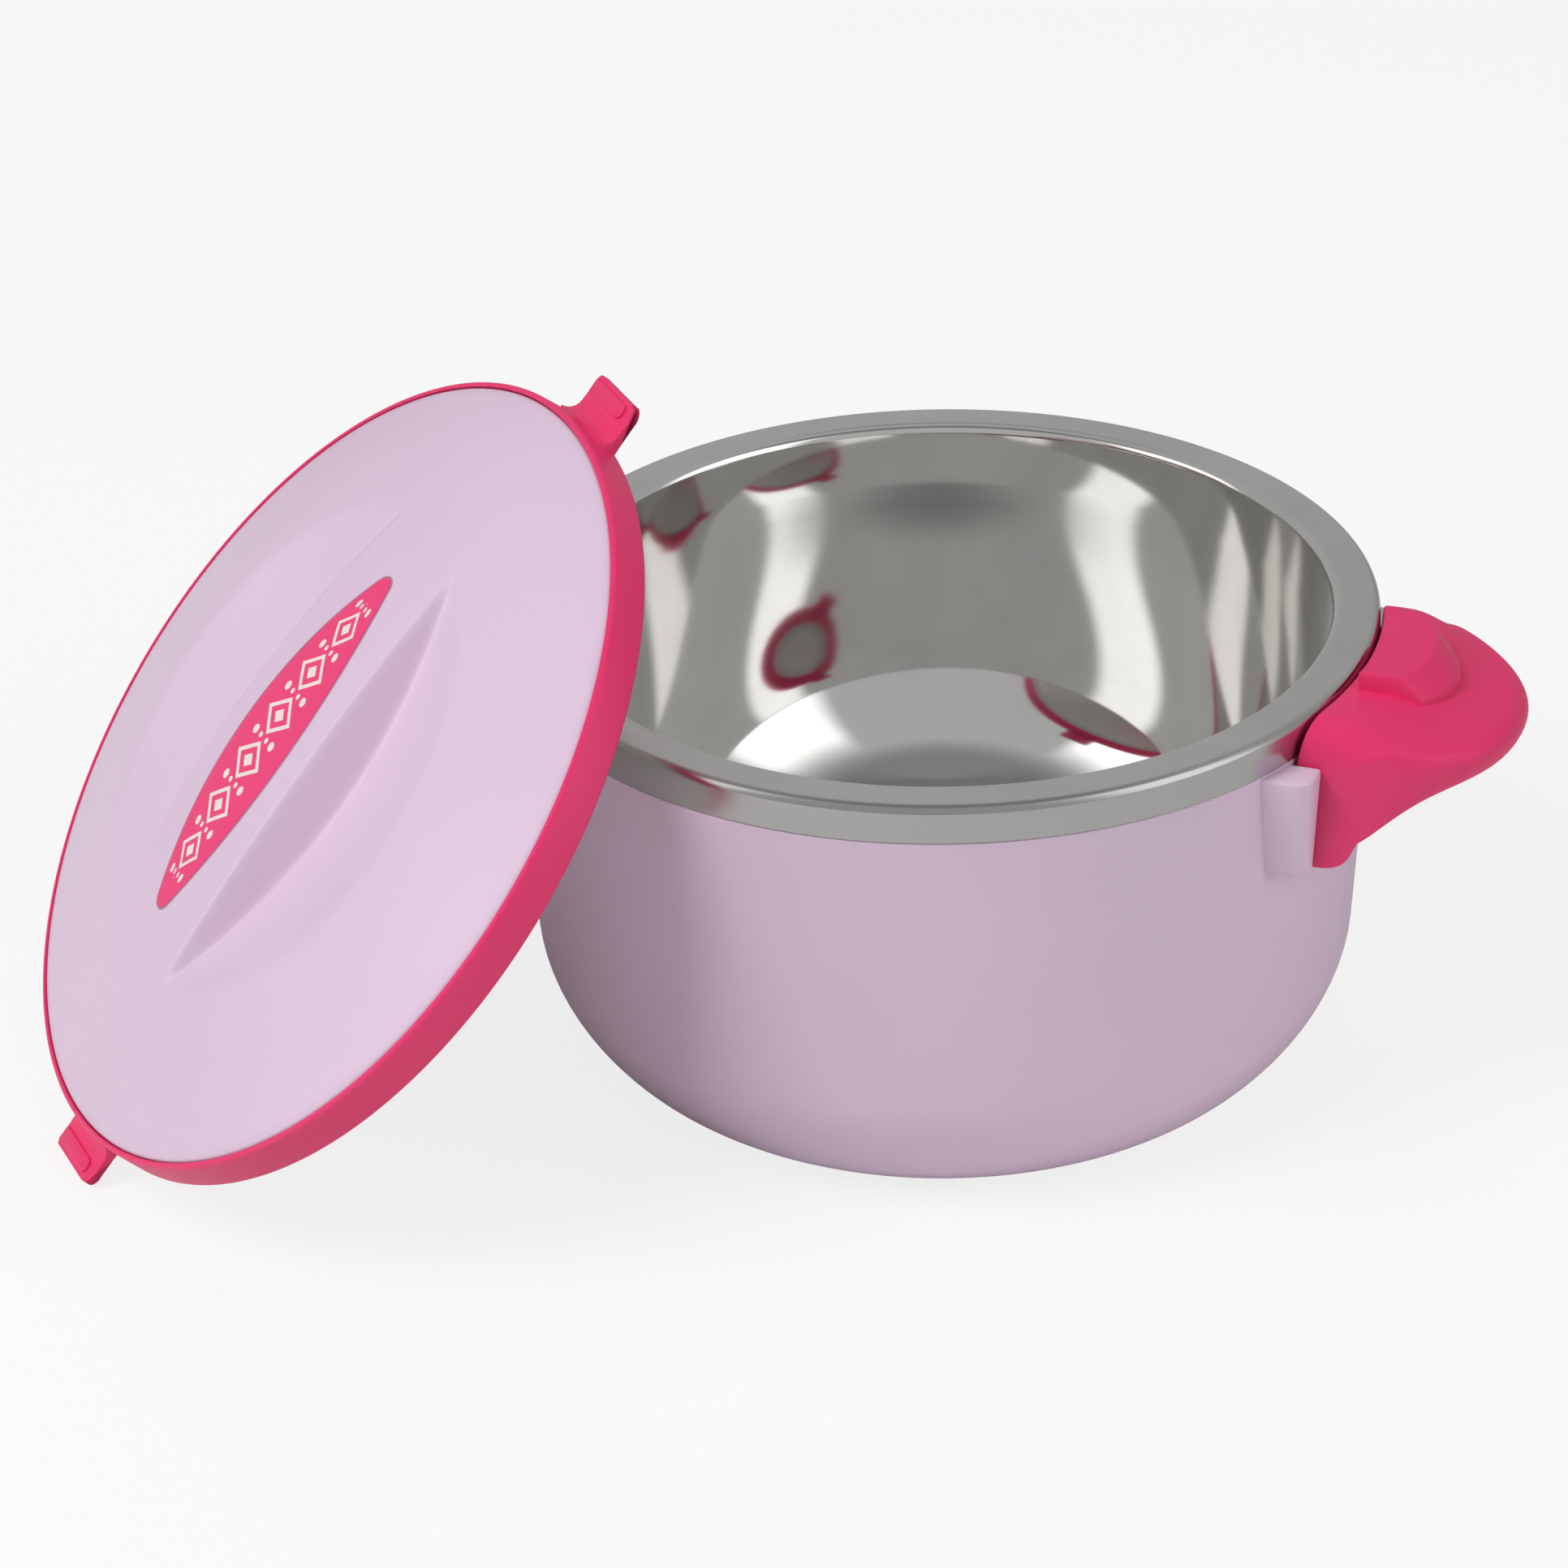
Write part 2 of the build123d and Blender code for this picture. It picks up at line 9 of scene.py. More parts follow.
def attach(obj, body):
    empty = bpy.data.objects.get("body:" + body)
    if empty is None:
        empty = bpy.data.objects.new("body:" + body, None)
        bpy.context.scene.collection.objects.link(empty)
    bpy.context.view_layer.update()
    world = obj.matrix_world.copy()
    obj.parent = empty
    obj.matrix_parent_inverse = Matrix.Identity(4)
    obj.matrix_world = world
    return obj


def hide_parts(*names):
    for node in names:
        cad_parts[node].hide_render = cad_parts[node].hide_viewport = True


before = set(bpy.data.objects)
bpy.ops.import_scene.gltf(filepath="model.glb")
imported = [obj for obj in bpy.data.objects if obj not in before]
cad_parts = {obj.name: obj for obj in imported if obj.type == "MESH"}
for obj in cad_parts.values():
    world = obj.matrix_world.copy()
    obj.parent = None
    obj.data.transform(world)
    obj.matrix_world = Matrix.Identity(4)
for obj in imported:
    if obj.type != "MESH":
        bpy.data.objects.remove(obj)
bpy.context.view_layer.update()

bl_info = {
    "name": "Thermal Serving Bowl",
    "version": (1, 0, 0),
    "blender": (4, 5, 0),
    "location": "View3D > Sidebar > Serving Bowl",
    "description": "Models an insulated serving bowl with its lid leaning against one handle",
    "category": "Add Mesh",
}

# Working limits in metres
NEAR = 1e-5  # a point this close to a plane counts as on it
MERGE = 1e-6  # points this close become one
FIT = 0.00015  # gap between two pieces that fit into each other


def length(name, text, default):
    """A size in metres that a user can change."""
    return FloatProperty(name=name, description=text, default=default, unit="LENGTH", precision=4)


def place(name, text, default):
    """A point in metres."""
    return FloatVectorProperty(
        name=name, description=text, default=default, subtype="TRANSLATION", unit="LENGTH"
    )


def angle(name, text, default):
    """An angle, given in degrees."""
    return FloatProperty(name=name, description=text, default=radians(default), subtype="ANGLE")


def share(name, text, default):
    """A value from nothing to all."""
    return FloatProperty(name=name, description=text, default=default, min=0, max=1, subtype="FACTOR")


def power(name, text, default):
    """A lamp's strength in watts."""
    return FloatProperty(name=name, description=text, default=default, min=0, unit="POWER")


def tint(name, text, *levels):
    """A colour, given as red, green and blue on a screen from 0 to 255."""
    light = [((level / 255 + 0.055) / 1.055) ** 2.4 for level in levels]
    return FloatVectorProperty(name=name, description=text, default=light, min=0, max=1, subtype="COLOR")


class BowlSizes(bpy.types.PropertyGroup):
    """Sizes of the steel bowl and the shell around it."""

    rim_height: length("Rim height", "Top of the steel flange above the table", 0.130)
    rim_radius: length("Rim radius", "Outside of the steel rim", 0.1153)
    rim_bend: length("Rim bend", "Radius of the flange's two bends", 0.0026)
    rim_skirt: length("Rim skirt", "Height of the rim's outer wall", 0.0104)
    mouth_radius: length("Mouth radius", "Inside of the bowl at its mouth", 0.1027)
    floor_height: length("Floor height", "Inside floor above the table", 0.027)
    floor_radius: length("Floor radius", "Where wall and floor would meet without a bend", 0.0982)
    bend_height: length("Bend height", "The bend starts this far up the wall from the corner", 0.085)
    bend_reach: length("Bend reach", "The bend ends this far in on the floor", 0.066)
    bend_pull: share("Bend pull", "How far the bend is drawn towards the corner", 0.73)
    steel: length("Steel", "Thickness of the sheet", 0.0008)
    shell_wall: length("Shell wall", "Thickness of the outer shell", 0.0022)
    shell_step: length("Shell step", "The steel stands this far proud of the shell", 0.0003)
    shell_draft: angle("Shell draft", "Lean of the straight wall", 3.92)
    curve_height: length("Curve height", "Below this the wall curves in to the base", 0.03925)
    wall_pull: share("Wall pull", "Pull of the wall on the lower curve, as a share of its chord", 0.387)
    base_pull: share("Base pull", "Pull of the base on the lower curve, as a share of its chord", 0.245)
    base_radius: length("Base radius", "Flat part of the underside", 0.0761)
    base_wall: length("Base wall", "Thickness of the shell's base", 0.004)
    filling_hole: length("Filling hole", "Radius of the hole in the base", 0.008)
    cover_radius: length("Base cover radius", "Round cover in the underside", 0.062)
    cover_thickness: length("Base cover", "Thickness of the cover in the underside", 0.0015)
    steps: IntProperty(name="Steps", description="Faces around each turned piece", default=256, min=48)


class HandleSizes(bpy.types.PropertyGroup):
    """Sizes of the two handles, their catch blocks and the ears that carry them."""

    azimuth: angle("Azimuth", "Direction of the right handle; the left one is opposite", -21)
    gap: length("Gap", "From the steel rim", 0.0007)
    half_width: length("Half width", "Half of the handle along the rim", 0.0397)
    reach: length("Reach", "Nose from the bowl's axis", 0.158)
    root_reach: length("Root reach", "Outer face of the root from the bowl's axis", 0.124)
    root_height: length("Root height", "Underside of the root below the rim", 0.0408)
    top_drop: length("Top drop", "Top of the handle below the rim", 0.0005)
    nose_drop: length("Nose drop", "Top of the nose below the rim", 0.008)
    nose_thickness: length("Nose thickness", "Thickness of the nose", 0.0116)
    nose_lift: length("Nose lift", "The nose's top is higher by this much at the handle's ends", 0.002)
    nose_sag: length("Nose sag", "The nose's underside is lower by this much at the handle's ends", 0.0135)
    shoulder: length("Shoulder", "Rounding of the top's two ends", 0.0102)
    catch_half_width: length("Catch half width", "Half of the catch block along the rim", 0.016)
    catch_back: length("Catch back", "Catch block from the handle's inner edge", 0.0033)
    catch_height: length("Catch height", "Top of the catch block above the rim", 0.0042)
    catch_flat: length("Catch flat", "Flat part of the block's top, going outwards", 0.0142)
    catch_bevel: length("Catch bevel", "Sloping part beyond the flat", 0.0066)
    catch_slope: length("Catch slope", "Fall of the sloping part", 0.0060)
    catch_bow: length("Catch bow", "How far the outer edge bows out", 0.004)
    pocket_half_width: length("Pocket half width", "Half of the pocket for the lid's tab", 0.0137)
    pocket_depth: length("Pocket depth", "The pocket goes this far into the block", 0.007)
    pocket_roof: length("Pocket roof", "Thickness of the block above the pocket", 0.0011)
    pocket_height: length("Pocket height", "Height of the pocket", 0.0032)
    pivot_reach: length("Pivot reach", "Pivot from the bowl's axis", 0.110321)
    pivot_drop: length("Pivot drop", "Pivot below the rim", 0.029)
    pivot_radius: length("Pivot radius", "Radius of the pivot's two pins", 0.002)
    pivot_length: length("Pivot length", "Length of each pin", 0.005)
    ear_gap: length("Ear gap", "Between a handle's end and its ear", 0.0004)
    ear_width: length("Ear width", "Width of each ear along the rim", 0.011)
    ear_height: length("Ear height", "Height of each ear", 0.0294)
    ear_drop: length("Ear drop", "Top of the ears below the steel skirt", 0.001)
    ear_proud: length("Ear proud", "Outer face beyond the rim line at the handle's end", 0.007)
    ear_taper: length("Ear taper", "The far side draws in by this much towards its foot", 0.005)
    ear_lean: length("Ear lean", "The outer face draws in by this much towards its foot", 0.0018)
    ear_corner: length("Ear corner", "Rounding of the outer corner", 0.005)


class LidSizes(bpy.types.PropertyGroup):
    """Sizes of the lid, and where it leans."""

    middle: place("Middle", "Middle of the ring's underside", (-0.156343, -0.033479, 0.095557))
    tilt: angle("Tilt", "Lid's axis from the vertical", 49.25)
    faces: angle("Faces", "Direction the lid's top faces, from above", 201.3)
    spin: angle("Spin", "Grip from the line of steepest slope", -1.5)
    ring_radius: length("Ring radius", "Outside of the ring at its foot", 0.1135)
    ring_height: length("Ring height", "Height of the ring", 0.0108)
    ring_taper: length("Ring taper", "The ring draws in by this much", 0.0005)
    ring_lip: length("Ring lip", "Top edge of the ring that shows", 0.0015)
    ring_ledge: length("Ring ledge", "Height of the ledge under the cover", 0.0086)
    ring_wall: length("Ring wall", "Width of that ledge", 0.004)
    cover_edge: length("Cover edge", "Height of the cover at its edge", 0.0104)
    cover_top: length("Cover top", "Height of the grip's middle", 0.029)
    dish_radius: length("Dish radius", "Radius of the round dish", 0.069)
    dish_edge: length("Dish edge", "Height of the cover around the dish", 0.023)
    dish_floor: length("Dish floor", "Height of the dish's middle", 0.014)
    grip_half_width: length("Grip half width", "Half of the grip at its middle", 0.0235)
    grip_end_half_width: length("Grip end half width", "Half of the grip at its ends", 0.0168)
    grip_draft: angle("Grip draft", "Lean of the grip's sides", 24)
    valley_bend: length("Valley bend", "Softness of the fold between dish and grip", 0.0022)
    crest_bend: length("Crest bend", "Softness of the edges of dish and grip", 0.0015)
    inlay_half_length: length("Inlay half length", "From its middle to where its edges would meet", 0.057)
    inlay_half_width: length("Inlay half width", "Half of the inlay across the grip", 0.0143)
    inlay_tip: length("Inlay tip", "Rounding of its two ends", 0.0035)
    inlay_proud: length("Inlay proud", "The inlay stands this far above the grip", 0.00025)
    tab_reach: length("Tab reach", "The tabs go this far beyond the ring", 0.012)
    tab_half_width: length("Tab half width", "Half of a tab's width", 0.0128)
    tab_thickness: length("Tab thickness", "Thickness of a tab's plate", 0.0021)
    tab_hollow: length("Tab hollow", "Radius of the hollow at a tab's root", 0.0038)
    liner_radius: length("Liner radius", "Outside of the pan under the lid", 0.0993)
    liner_depth: length("Liner depth", "The pan goes this far below the ring", 0.0032)
    liner_seat: length("Liner seat", "Height of the pan's flange above the ring's underside", 0.0022)
    liner_flange: length("Liner flange", "Width of the pan's flange", 0.006)
    liner_sheet: length("Liner sheet", "Thickness of the pan", 0.001)
    seal_radius: length("Seal radius", "Outside of the rubber seal", 0.1025)


class Finishes(bpy.types.PropertyGroup):
    """Colours and gloss of the pieces."""

    shell: tint("Shell", "Lavender plastic of the shell", 227, 203, 225)
    cover: tint("Lid cover", "Lavender plastic of the lid", 226, 201, 224)
    pink: tint("Pink", "Pink plastic of handles and ring", 236, 54, 113)
    inlay: tint("Inlay", "Pink ground of the inlay", 242, 66, 124)
    print: tint("Print", "Off-white print on the inlay", 244, 232, 228)
    steel: tint("Steel", "Stainless steel", 228, 227, 225)
    liner: tint("Liner", "White pan under the lid", 236, 234, 230)
    seal: tint("Seal", "Grey rubber seal", 214, 212, 210)
    foam: tint("Foam", "Insulating foam", 232, 222, 186)
    shell_gloss: share("Shell roughness", "Roughness of the lavender plastic", 0.3)
    handle_gloss: share("Handle roughness", "Roughness of the handles", 0.44)
    ring_gloss: share("Ring roughness", "Roughness of the lid's ring", 0.38)
    inlay_gloss: share("Inlay roughness", "Roughness of the inlay", 0.29)
    liner_gloss: share("Liner roughness", "Roughness of the pan under the lid", 0.4)
    rim_gloss: share("Rim roughness", "Roughness of the satin flange", 0.3)
    skirt_gloss: share("Skirt roughness", "Roughness of the rim's outer wall", 0.17)
    inside_gloss: share("Inside roughness", "Roughness of the polished inside", 0.04)


class StageSettings(bpy.types.PropertyGroup):
    """Camera, lights and background."""

    camera_place: place("Camera place", "Where the camera stands", (-0.04259, -1.52118, 0.91136))
    camera_pitch: angle("Camera pitch", "How far the camera looks down", 28.82)
    camera_roll: angle("Camera roll", "Turn about the line of sight", -1.375)
    camera_lens: FloatProperty(
        name="Lens", description="Focal length in millimetres", default=149.07, min=1, unit="CAMERA"
    )
    key: power("Key light", "Strength of the high light on the left", 35)
    fill: power("Fill light", "Strength of the light on the right", 14.5)
    top: power("Top light", "Strength of the light above", 6.5)
    side: power("Side light", "Strength of the low light on the left", 8.5)
    ambient: share("Ambient", "Even light from all sides", 0.12)


class ServingBowlSettings(bpy.types.PropertyGroup):
    """Everything that a user would change."""

    bowl: PointerProperty(type=BowlSizes, name="Bowl", description="Sizes of the bowl")
    handle: PointerProperty(type=HandleSizes, name="Handles", description="Sizes of the handles")
    lid: PointerProperty(type=LidSizes, name="Lid", description="Sizes of the lid")
    finish: PointerProperty(type=Finishes, name="Finishes", description="Colours and gloss")
    stage: PointerProperty(type=StageSettings, name="Stage", description="Camera and light")


def settings():
    """The settings of this scene."""
    return bpy.context.scene.serving_bowl


class Wire:
    """One output of a material's nodes, for use in plain sums."""

    def __init__(self, finish, socket):
        self.finish = finish
        self.socket = socket

    def sum(self, operation, first, second=0.0):
        return self.finish.node("ShaderNodeMath", {"operation": operation}, {0: first, 1: second})

    def __add__(self, other):
        return self.sum("ADD", self, other)

    def __radd__(self, other):
        return self.sum("ADD", other, self)

    def __sub__(self, other):
        return self.sum("SUBTRACT", self, other)

    def __rsub__(self, other):
        return self.sum("SUBTRACT", other, self)

    def __mul__(self, other):
        return self.sum("MULTIPLY", self, other)

    def __rmul__(self, other):
        return self.sum("MULTIPLY", other, self)

    def __truediv__(self, other):
        return self.sum("DIVIDE", self, other)

    def __pow__(self, other):
        return self.sum("POWER", self, other)

    def __abs__(self):
        return self.sum("ABSOLUTE", self)

    def __lt__(self, other):
        return self.sum("LESS_THAN", self, other)

    def __gt__(self, other):
        return self.sum("GREATER_THAN", self, other)

    def rest(self):
        """What is left after the whole number."""
        return self.sum("FRACT", self)

    def up_to(self, limit):
        """The value, but no more than a limit."""
        return self.sum("MINIMUM", self, limit)

    def rise(self, start, end):
        """From 0 at start to 1 at end, with soft ends."""
        limits = {"Value": self, "From Min": start, "From Max": end}
        return self.finish.node("ShaderNodeMapRange", {"interpolation_type": "SMOOTHSTEP"}, limits)


def hypot_of(first, second):
    """Length of the diagonal over two wires."""
    return (first * first + second * second) ** 0.5


class Finish:
    """One material, or the world, with its nodes."""

    def __init__(self, name, owner=None):
        self.owner = owner or bpy.data.materials.new(name)
        self.owner.use_nodes = True
        self.tree = self.owner.node_tree
        self.tree.nodes.clear()

    def node(self, kind, options=None, inputs=None, output=0):
        """Add a node, set its options first, then its sockets, and return one of its outputs."""
        made = self.tree.nodes.new(kind)
        for key, value in (options or {}).items():
            setattr(made, key, value)
        for key, value in (inputs or {}).items():
            if isinstance(value, Wire):
                self.tree.links.new(value.socket, made.inputs[key])
            else:
                made.inputs[key].default_value = value
        return Wire(self, made.outputs[output]) if made.outputs else None

    def place(self, matrix=None):
        """Point on the piece in metres, in the row frame or in a frame given by a matrix."""
        point = self.node("ShaderNodeTexCoord", output="Object")
        if matrix is None:
            return point
        back = matrix.inverted()
        turns = {"Vector": point, "Location": back.translation, "Rotation": back.to_euler()}
        return self.node("ShaderNodeMapping", {"vector_type": "POINT"}, turns)

    def axes(self, point):
        """The three values of a point."""
        return [self.node("ShaderNodeSeparateXYZ", inputs={0: point}, output=i) for i in range(3)]

    def noise(self, point, scale, detail, rough=0.5):
        """Cloudy noise around a half."""
        values = {"Vector": point, "Scale": scale, "Detail": detail, "Roughness": rough}
        return self.node("ShaderNodeTexNoise", inputs=values)

    def stretch(self, point, scale):
        """A point with each axis scaled on its own."""
        return self.node("ShaderNodeMapping", {"vector_type": "POINT"}, {"Vector": point, "Scale": scale})

    def mix(self, amount, first, second):
        """Blend two colours."""
        colours = {"Factor": amount, 6: first, 7: second}
        return self.node("ShaderNodeMix", {"data_type": "RGBA"}, colours, output=2)

    def bump(self, height, strength, distance):
        """Relief for a surface's Normal."""
        values = {"Height": height, "Strength": strength, "Distance": distance}
        return self.node("ShaderNodeBump", inputs=values)

    def seen(self):
        """One where the camera looks, straight or through a clear piece."""
        camera = self.node("ShaderNodeLightPath", output="Is Camera Ray")
        return camera + self.node("ShaderNodeLightPath", output="Is Transmission Ray")

    def surface(self, **sockets):
        """Principled surface; underscores in names stand for spaces."""
        named = {key.replace("_", " "): value for key, value in sockets.items()}
        shader = self.node("ShaderNodeBsdfPrincipled", inputs=named)
        self.node("ShaderNodeOutputMaterial", inputs={"Surface": shader})
        return self.owner


def shaded(value, factor=1.0):
    """A colour for a socket, made darker or lighter by a factor."""
    return (*(channel * factor for channel in value), 1.0)


def grey(level):
    """A grey for a socket."""
    return (level, level, level, 1.0)


PLASTIC_IOR = 1.49
SKIN_DEPTH = 0.00002  # depth of the waves in a moulded skin


def plastic_noises(make, point):
    """Cloudiness of a moulded plastic's colour, unevenness of its gloss and waves of its skin."""
    cloud = make.noise(point, scale=9, detail=2).rise(0.3, 0.7)
    gloss = make.noise(point, scale=40, detail=4)
    wave = make.noise(point, scale=110, detail=1)
    return cloud, gloss, wave


def moulded_plastic(name, base, rough, grain):
    """Injection-moulded plastic: faint cloudiness, slight waviness and uneven gloss."""
    make = Finish(name)
    cloud, gloss, wave = plastic_noises(make, make.place())
    return make.surface(
        Base_Color=make.mix(cloud, shaded(base, 0.975), shaded(base, 1.02)),
        Roughness=rough + gloss * 0.06,
        IOR=PLASTIC_IOR,
        Normal=make.bump(wave, strength=grain, distance=SKIN_DEPTH),
    )


# The polish fades out over the flange's bends, this far inside their ends
POLISH_MARGIN = 0.0004
LINES_PER_METRE = 5200  # fine turned lines on the flange
LAST_BOUNCE = 3.5  # beyond this many reflections the steel glows an even grey: painted light in place of the reflections that are not traced
PAINTED_BOUNCE_GLOW = 0.2


def steel_finish(name):
    """Stainless steel: polished inside, satin on the flange and half bright on the skirt; the skirt has
    painted shade and the steel a painted glow where its traced reflections end.
    """
    sizes, finish = settings().bowl, settings().finish
    make = Finish(name)
    point = make.place()
    x, y = make.axes(point)[:2]
    radius = hypot_of(x, y)
    mouth, rim, bend = sizes.mouth_radius, sizes.rim_radius, sizes.rim_bend
    inside = 1 - radius.rise(mouth + POLISH_MARGIN, mouth + bend)
    skirt = radius.rise(rim - bend + POLISH_MARGIN, rim - POLISH_MARGIN)
    lines = make.node(
        "ShaderNodeTexNoise",
        {"noise_dimensions": "1D"},
        {"W": radius * LINES_PER_METRE, "Scale": 1.0, "Detail": 3.0, "Roughness": 0.7},
    )
    drawn = make.noise(make.stretch(point, (14, 14, 900)), scale=1, detail=3)
    wave = make.noise(make.stretch(point, (9, 9, 5)), scale=1, detail=1)
    smudge = make.noise(point, scale=26, detail=4, rough=0.6)
    smeared = smudge * 0.04
    satin = finish.rim_gloss + lines * 0.08 + smeared
    polished = finish.inside_gloss + smeared
    half_bright = finish.skirt_gloss + drawn * 0.08
    rough = satin + (polished - satin) * inside
    rough = rough + (half_bright - rough) * skirt
    height = wave * inside * 6.0 + lines * (1 - inside) * 0.02 + drawn * skirt * 0.03
    tone = make.mix(smudge.rise(0.35, 0.7), shaded(finish.steel), shaded(finish.steel, 0.95))
    # Painted shade: the skirt's colour is made darker than the steel so that it reflects less light.
    tone = make.mix(skirt, tone, shaded(finish.steel, 0.62))
    # Painted light: past the last traced reflection the steel glows grey, standing in for the light of
    # further reflections.
    deep = make.node("ShaderNodeLightPath", output="Glossy Depth") > LAST_BOUNCE
    return make.surface(
        Base_Color=tone,
        Metallic=1.0,
        Anisotropic=0.5,
        Emission_Color=make.mix(deep, grey(0), grey(PAINTED_BOUNCE_GLOW)),
        Emission_Strength=1.0,
        Roughness=rough,
        Normal=make.bump(height, strength=0.35, distance=0.0006),
    )


# Painted shadow in the joint around the inlay: its middle lies this far out from the inlay's edge
JOINT_OFFSET = 0.0003
JOINT_DARK = 0.00015  # dark up to this distance from its middle
JOINT_END = 0.00042  # and gone at this one


def cover_finish(name):
    """Lavender plastic with painted shadow in the thin joint around the inlay."""
    sizes, finish = settings().lid, settings().finish
    make = Finish(name)
    point = make.place(lid_frame())
    x, y = make.axes(point)[:2]
    radius, arc_middle, tip, tip_middle = inlay_edge(sizes, JOINT_OFFSET)
    along, across = abs(x), abs(y)
    from_arc = abs(hypot_of(along, across - arc_middle) - radius)
    from_tip = abs(hypot_of(along - tip_middle, across) - tip)
    at_tip = along > tip_middle * radius / (radius - tip)
    edge = from_arc + (from_tip - from_arc) * at_tip
    joint = 1 - edge.rise(JOINT_DARK, JOINT_END)
    cloud, gloss, wave = plastic_noises(make, point)
    tone = make.mix(cloud, shaded(finish.cover, 0.98), shaded(finish.cover, 1.015))
    return make.surface(
        # Painted shadow: the joint is coloured darker than the cover, as shade in the gap around the
        # inlay.
        Base_Color=make.mix(joint, tone, shaded(finish.cover, 0.42)),
        Roughness=finish.shell_gloss + gloss * 0.05 + joint * 0.3,
        IOR=PLASTIC_IOR,
        Normal=make.bump(wave, strength=0.12, distance=SKIN_DEPTH),
    )


# Print on the inlay, in metres unless said otherwise
PRINT_PITCH = 0.0142  # from one lozenge to the next
PRINT_HALF_LENGTH = 0.0442
PRINT_NARROWING = 0.8  # how much of its width the print loses at the ends, as a share
LOZENGE_HALF_LENGTH = 0.42 * PRINT_PITCH
LOZENGE_HALF_WIDTH = 0.0078
LOZENGE_LINE = 0.74  # the lozenge's frame starts at this share of its size
LOZENGE_HEART = 0.36  # and the filled heart ends at this one
DOTS = ((0.0058, 0.00135), (0.0021, 0.00085))  # between lozenges: distance from the middle, radius


def inlay_finish(name):
    """Pink inlay printed with a chain of lozenges and dots that narrows with the oval."""
    sizes, finish = settings().lid, settings().finish
    make = Finish(name)
    point = make.place(lid_frame())
    x, y = make.axes(point)[:2]
    along = x / sizes.inlay_half_length
    side = abs(y) / (1 - along * along * PRINT_NARROWING)
    cell = abs((x / PRINT_PITCH).rest() - 0.5) * PRINT_PITCH
    lozenge = cell / LOZENGE_HALF_LENGTH + side / LOZENGE_HALF_WIDTH
    ink = (lozenge < 1.0) * (lozenge > LOZENGE_LINE) + (lozenge < LOZENGE_HEART)
    for distance, radius in DOTS:
        ink = ink + (hypot_of(PRINT_PITCH / 2 - cell, side - distance) < radius)
    ink = (ink * (abs(x) < PRINT_HALF_LENGTH)).up_to(1.0)
    ink = ink * (0.9 + make.noise(point, scale=1800, detail=2) * 0.14)
    gloss = make.noise(point, scale=60, detail=3)
    grain = make.noise(point, scale=500, detail=2)
    return make.surface(
        Base_Color=make.mix(ink, shaded(finish.inlay), shaded(finish.print)),
        Roughness=finish.inlay_gloss + gloss * 0.06 + ink * 0.06,
        IOR=PLASTIC_IOR,
        Normal=make.bump(ink + grain * 0.2, strength=0.2, distance=0.00005),
    )


def foam_finish(name):
    """Rigid foam with open cells."""
    base = settings().finish.foam
    make = Finish(name)
    point = make.place()
    cells = make.node("ShaderNodeTexVoronoi", inputs={"Vector": point, "Scale": 700.0})
    cloud = make.noise(point, scale=30, detail=3)
    return make.surface(
        Base_Color=make.mix(cells.rise(0.1, 0.6), shaded(base, 0.8), shaded(base)),
        Roughness=0.85 + cloud * 0.1,
        Normal=make.bump(cells + cloud * 0.5, strength=0.6, distance=0.0006),
    )


def rubber_finish(name):
    """Soft seal rubber with a dusty skin."""
    base = settings().finish.seal
    make = Finish(name)
    point = make.place()
    dust = make.noise(point, scale=120, detail=4)
    grain = make.noise(point, scale=800, detail=3)
    return make.surface(
        Base_Color=make.mix(dust.rise(0.35, 0.75), shaded(base, 0.9), shaded(base)),
        Roughness=0.6 + dust * 0.2,
        Normal=make.bump(grain, strength=0.2, distance=0.00006),
    )


def clear():
    """Select nothing."""
    bpy.ops.object.select_all(action="DESELECT")


def alone(*pieces):
    """Select these pieces only, with the first one active."""
    clear()
    for piece in pieces:
        piece.select_set(True)
    bpy.context.view_layer.objects.active = pieces[0]


def edit():
    """Open the active piece in edit mode with everything selected."""
    bpy.ops.object.mode_set(mode="EDIT")
    bpy.ops.mesh.select_all(action="SELECT")


def leave():
    """Leave edit mode."""
    bpy.ops.object.mode_set(mode="OBJECT")


def choose(piece, test):
    """In edit mode, select the points that pass a test of their place."""
    bpy.ops.mesh.select_all(action="DESELECT")
    form = bmesh.from_edit_mesh(piece.data)
    for point in form.verts:
        point.select_set(bool(test(point.co)))
    form.select_flush(True)
    bmesh.update_edit_mesh(piece.data)


def tidy(piece):
    """Merge what coincides and turn the faces outwards."""
    edit()
    bpy.ops.mesh.remove_doubles(threshold=MERGE)
    bpy.ops.mesh.normals_make_consistent(inside=False)
    leave()
    return piece


def modified(piece, kind, **options):
    """Add a modifier, set it and apply it."""
    bpy.context.view_layer.objects.active = piece
    bpy.ops.object.modifier_add(type=kind)
    change = piece.modifiers[-1]
    for key, value in options.items():
        setattr(change, key, value)
    bpy.ops.object.modifier_apply(modifier=change.name)
    return piece


def softened(piece, width, segments, limit):
    """Round the edges that are sharper than a limit in degrees."""
    return modified(
        piece,
        "BEVEL",
        width=width,
        segments=segments,
        limit_method="ANGLE",
        angle_limit=radians(limit),
        use_clamp_overlap=True,
    )


def joined(main, *others):
    """Join pieces into the first one."""
    alone(main, *others)
    bpy.ops.object.join()
    return main


def mirrored(piece, axis):
    """Turn a piece into its mirror image along one axis."""
    for point in piece.data.vertices:
        point.co[axis] = -point.co[axis]
    return piece


def settled(piece, matrix):
    """Put a piece in place and leave the place in its mesh."""
    alone(piece)
    piece.matrix_world = matrix
    bpy.ops.object.transform_apply(location=True, rotation=True, scale=True)
    return piece


def finished(piece, name, body, material, smooth=35):
    """Name and shade a piece, give it its material and let it stand for its solid."""
    alone(piece)
    bpy.ops.object.shade_smooth_by_angle(angle=radians(smooth))
    piece.name = name + "_form"
    piece.data.name = name + "_form"
    dressed(piece, material)
    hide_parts(name)
    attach(piece, body)
    return piece


def dressed(piece, material):
    """Give a piece one material."""
    piece.data.materials.clear()
    piece.data.materials.append(material)


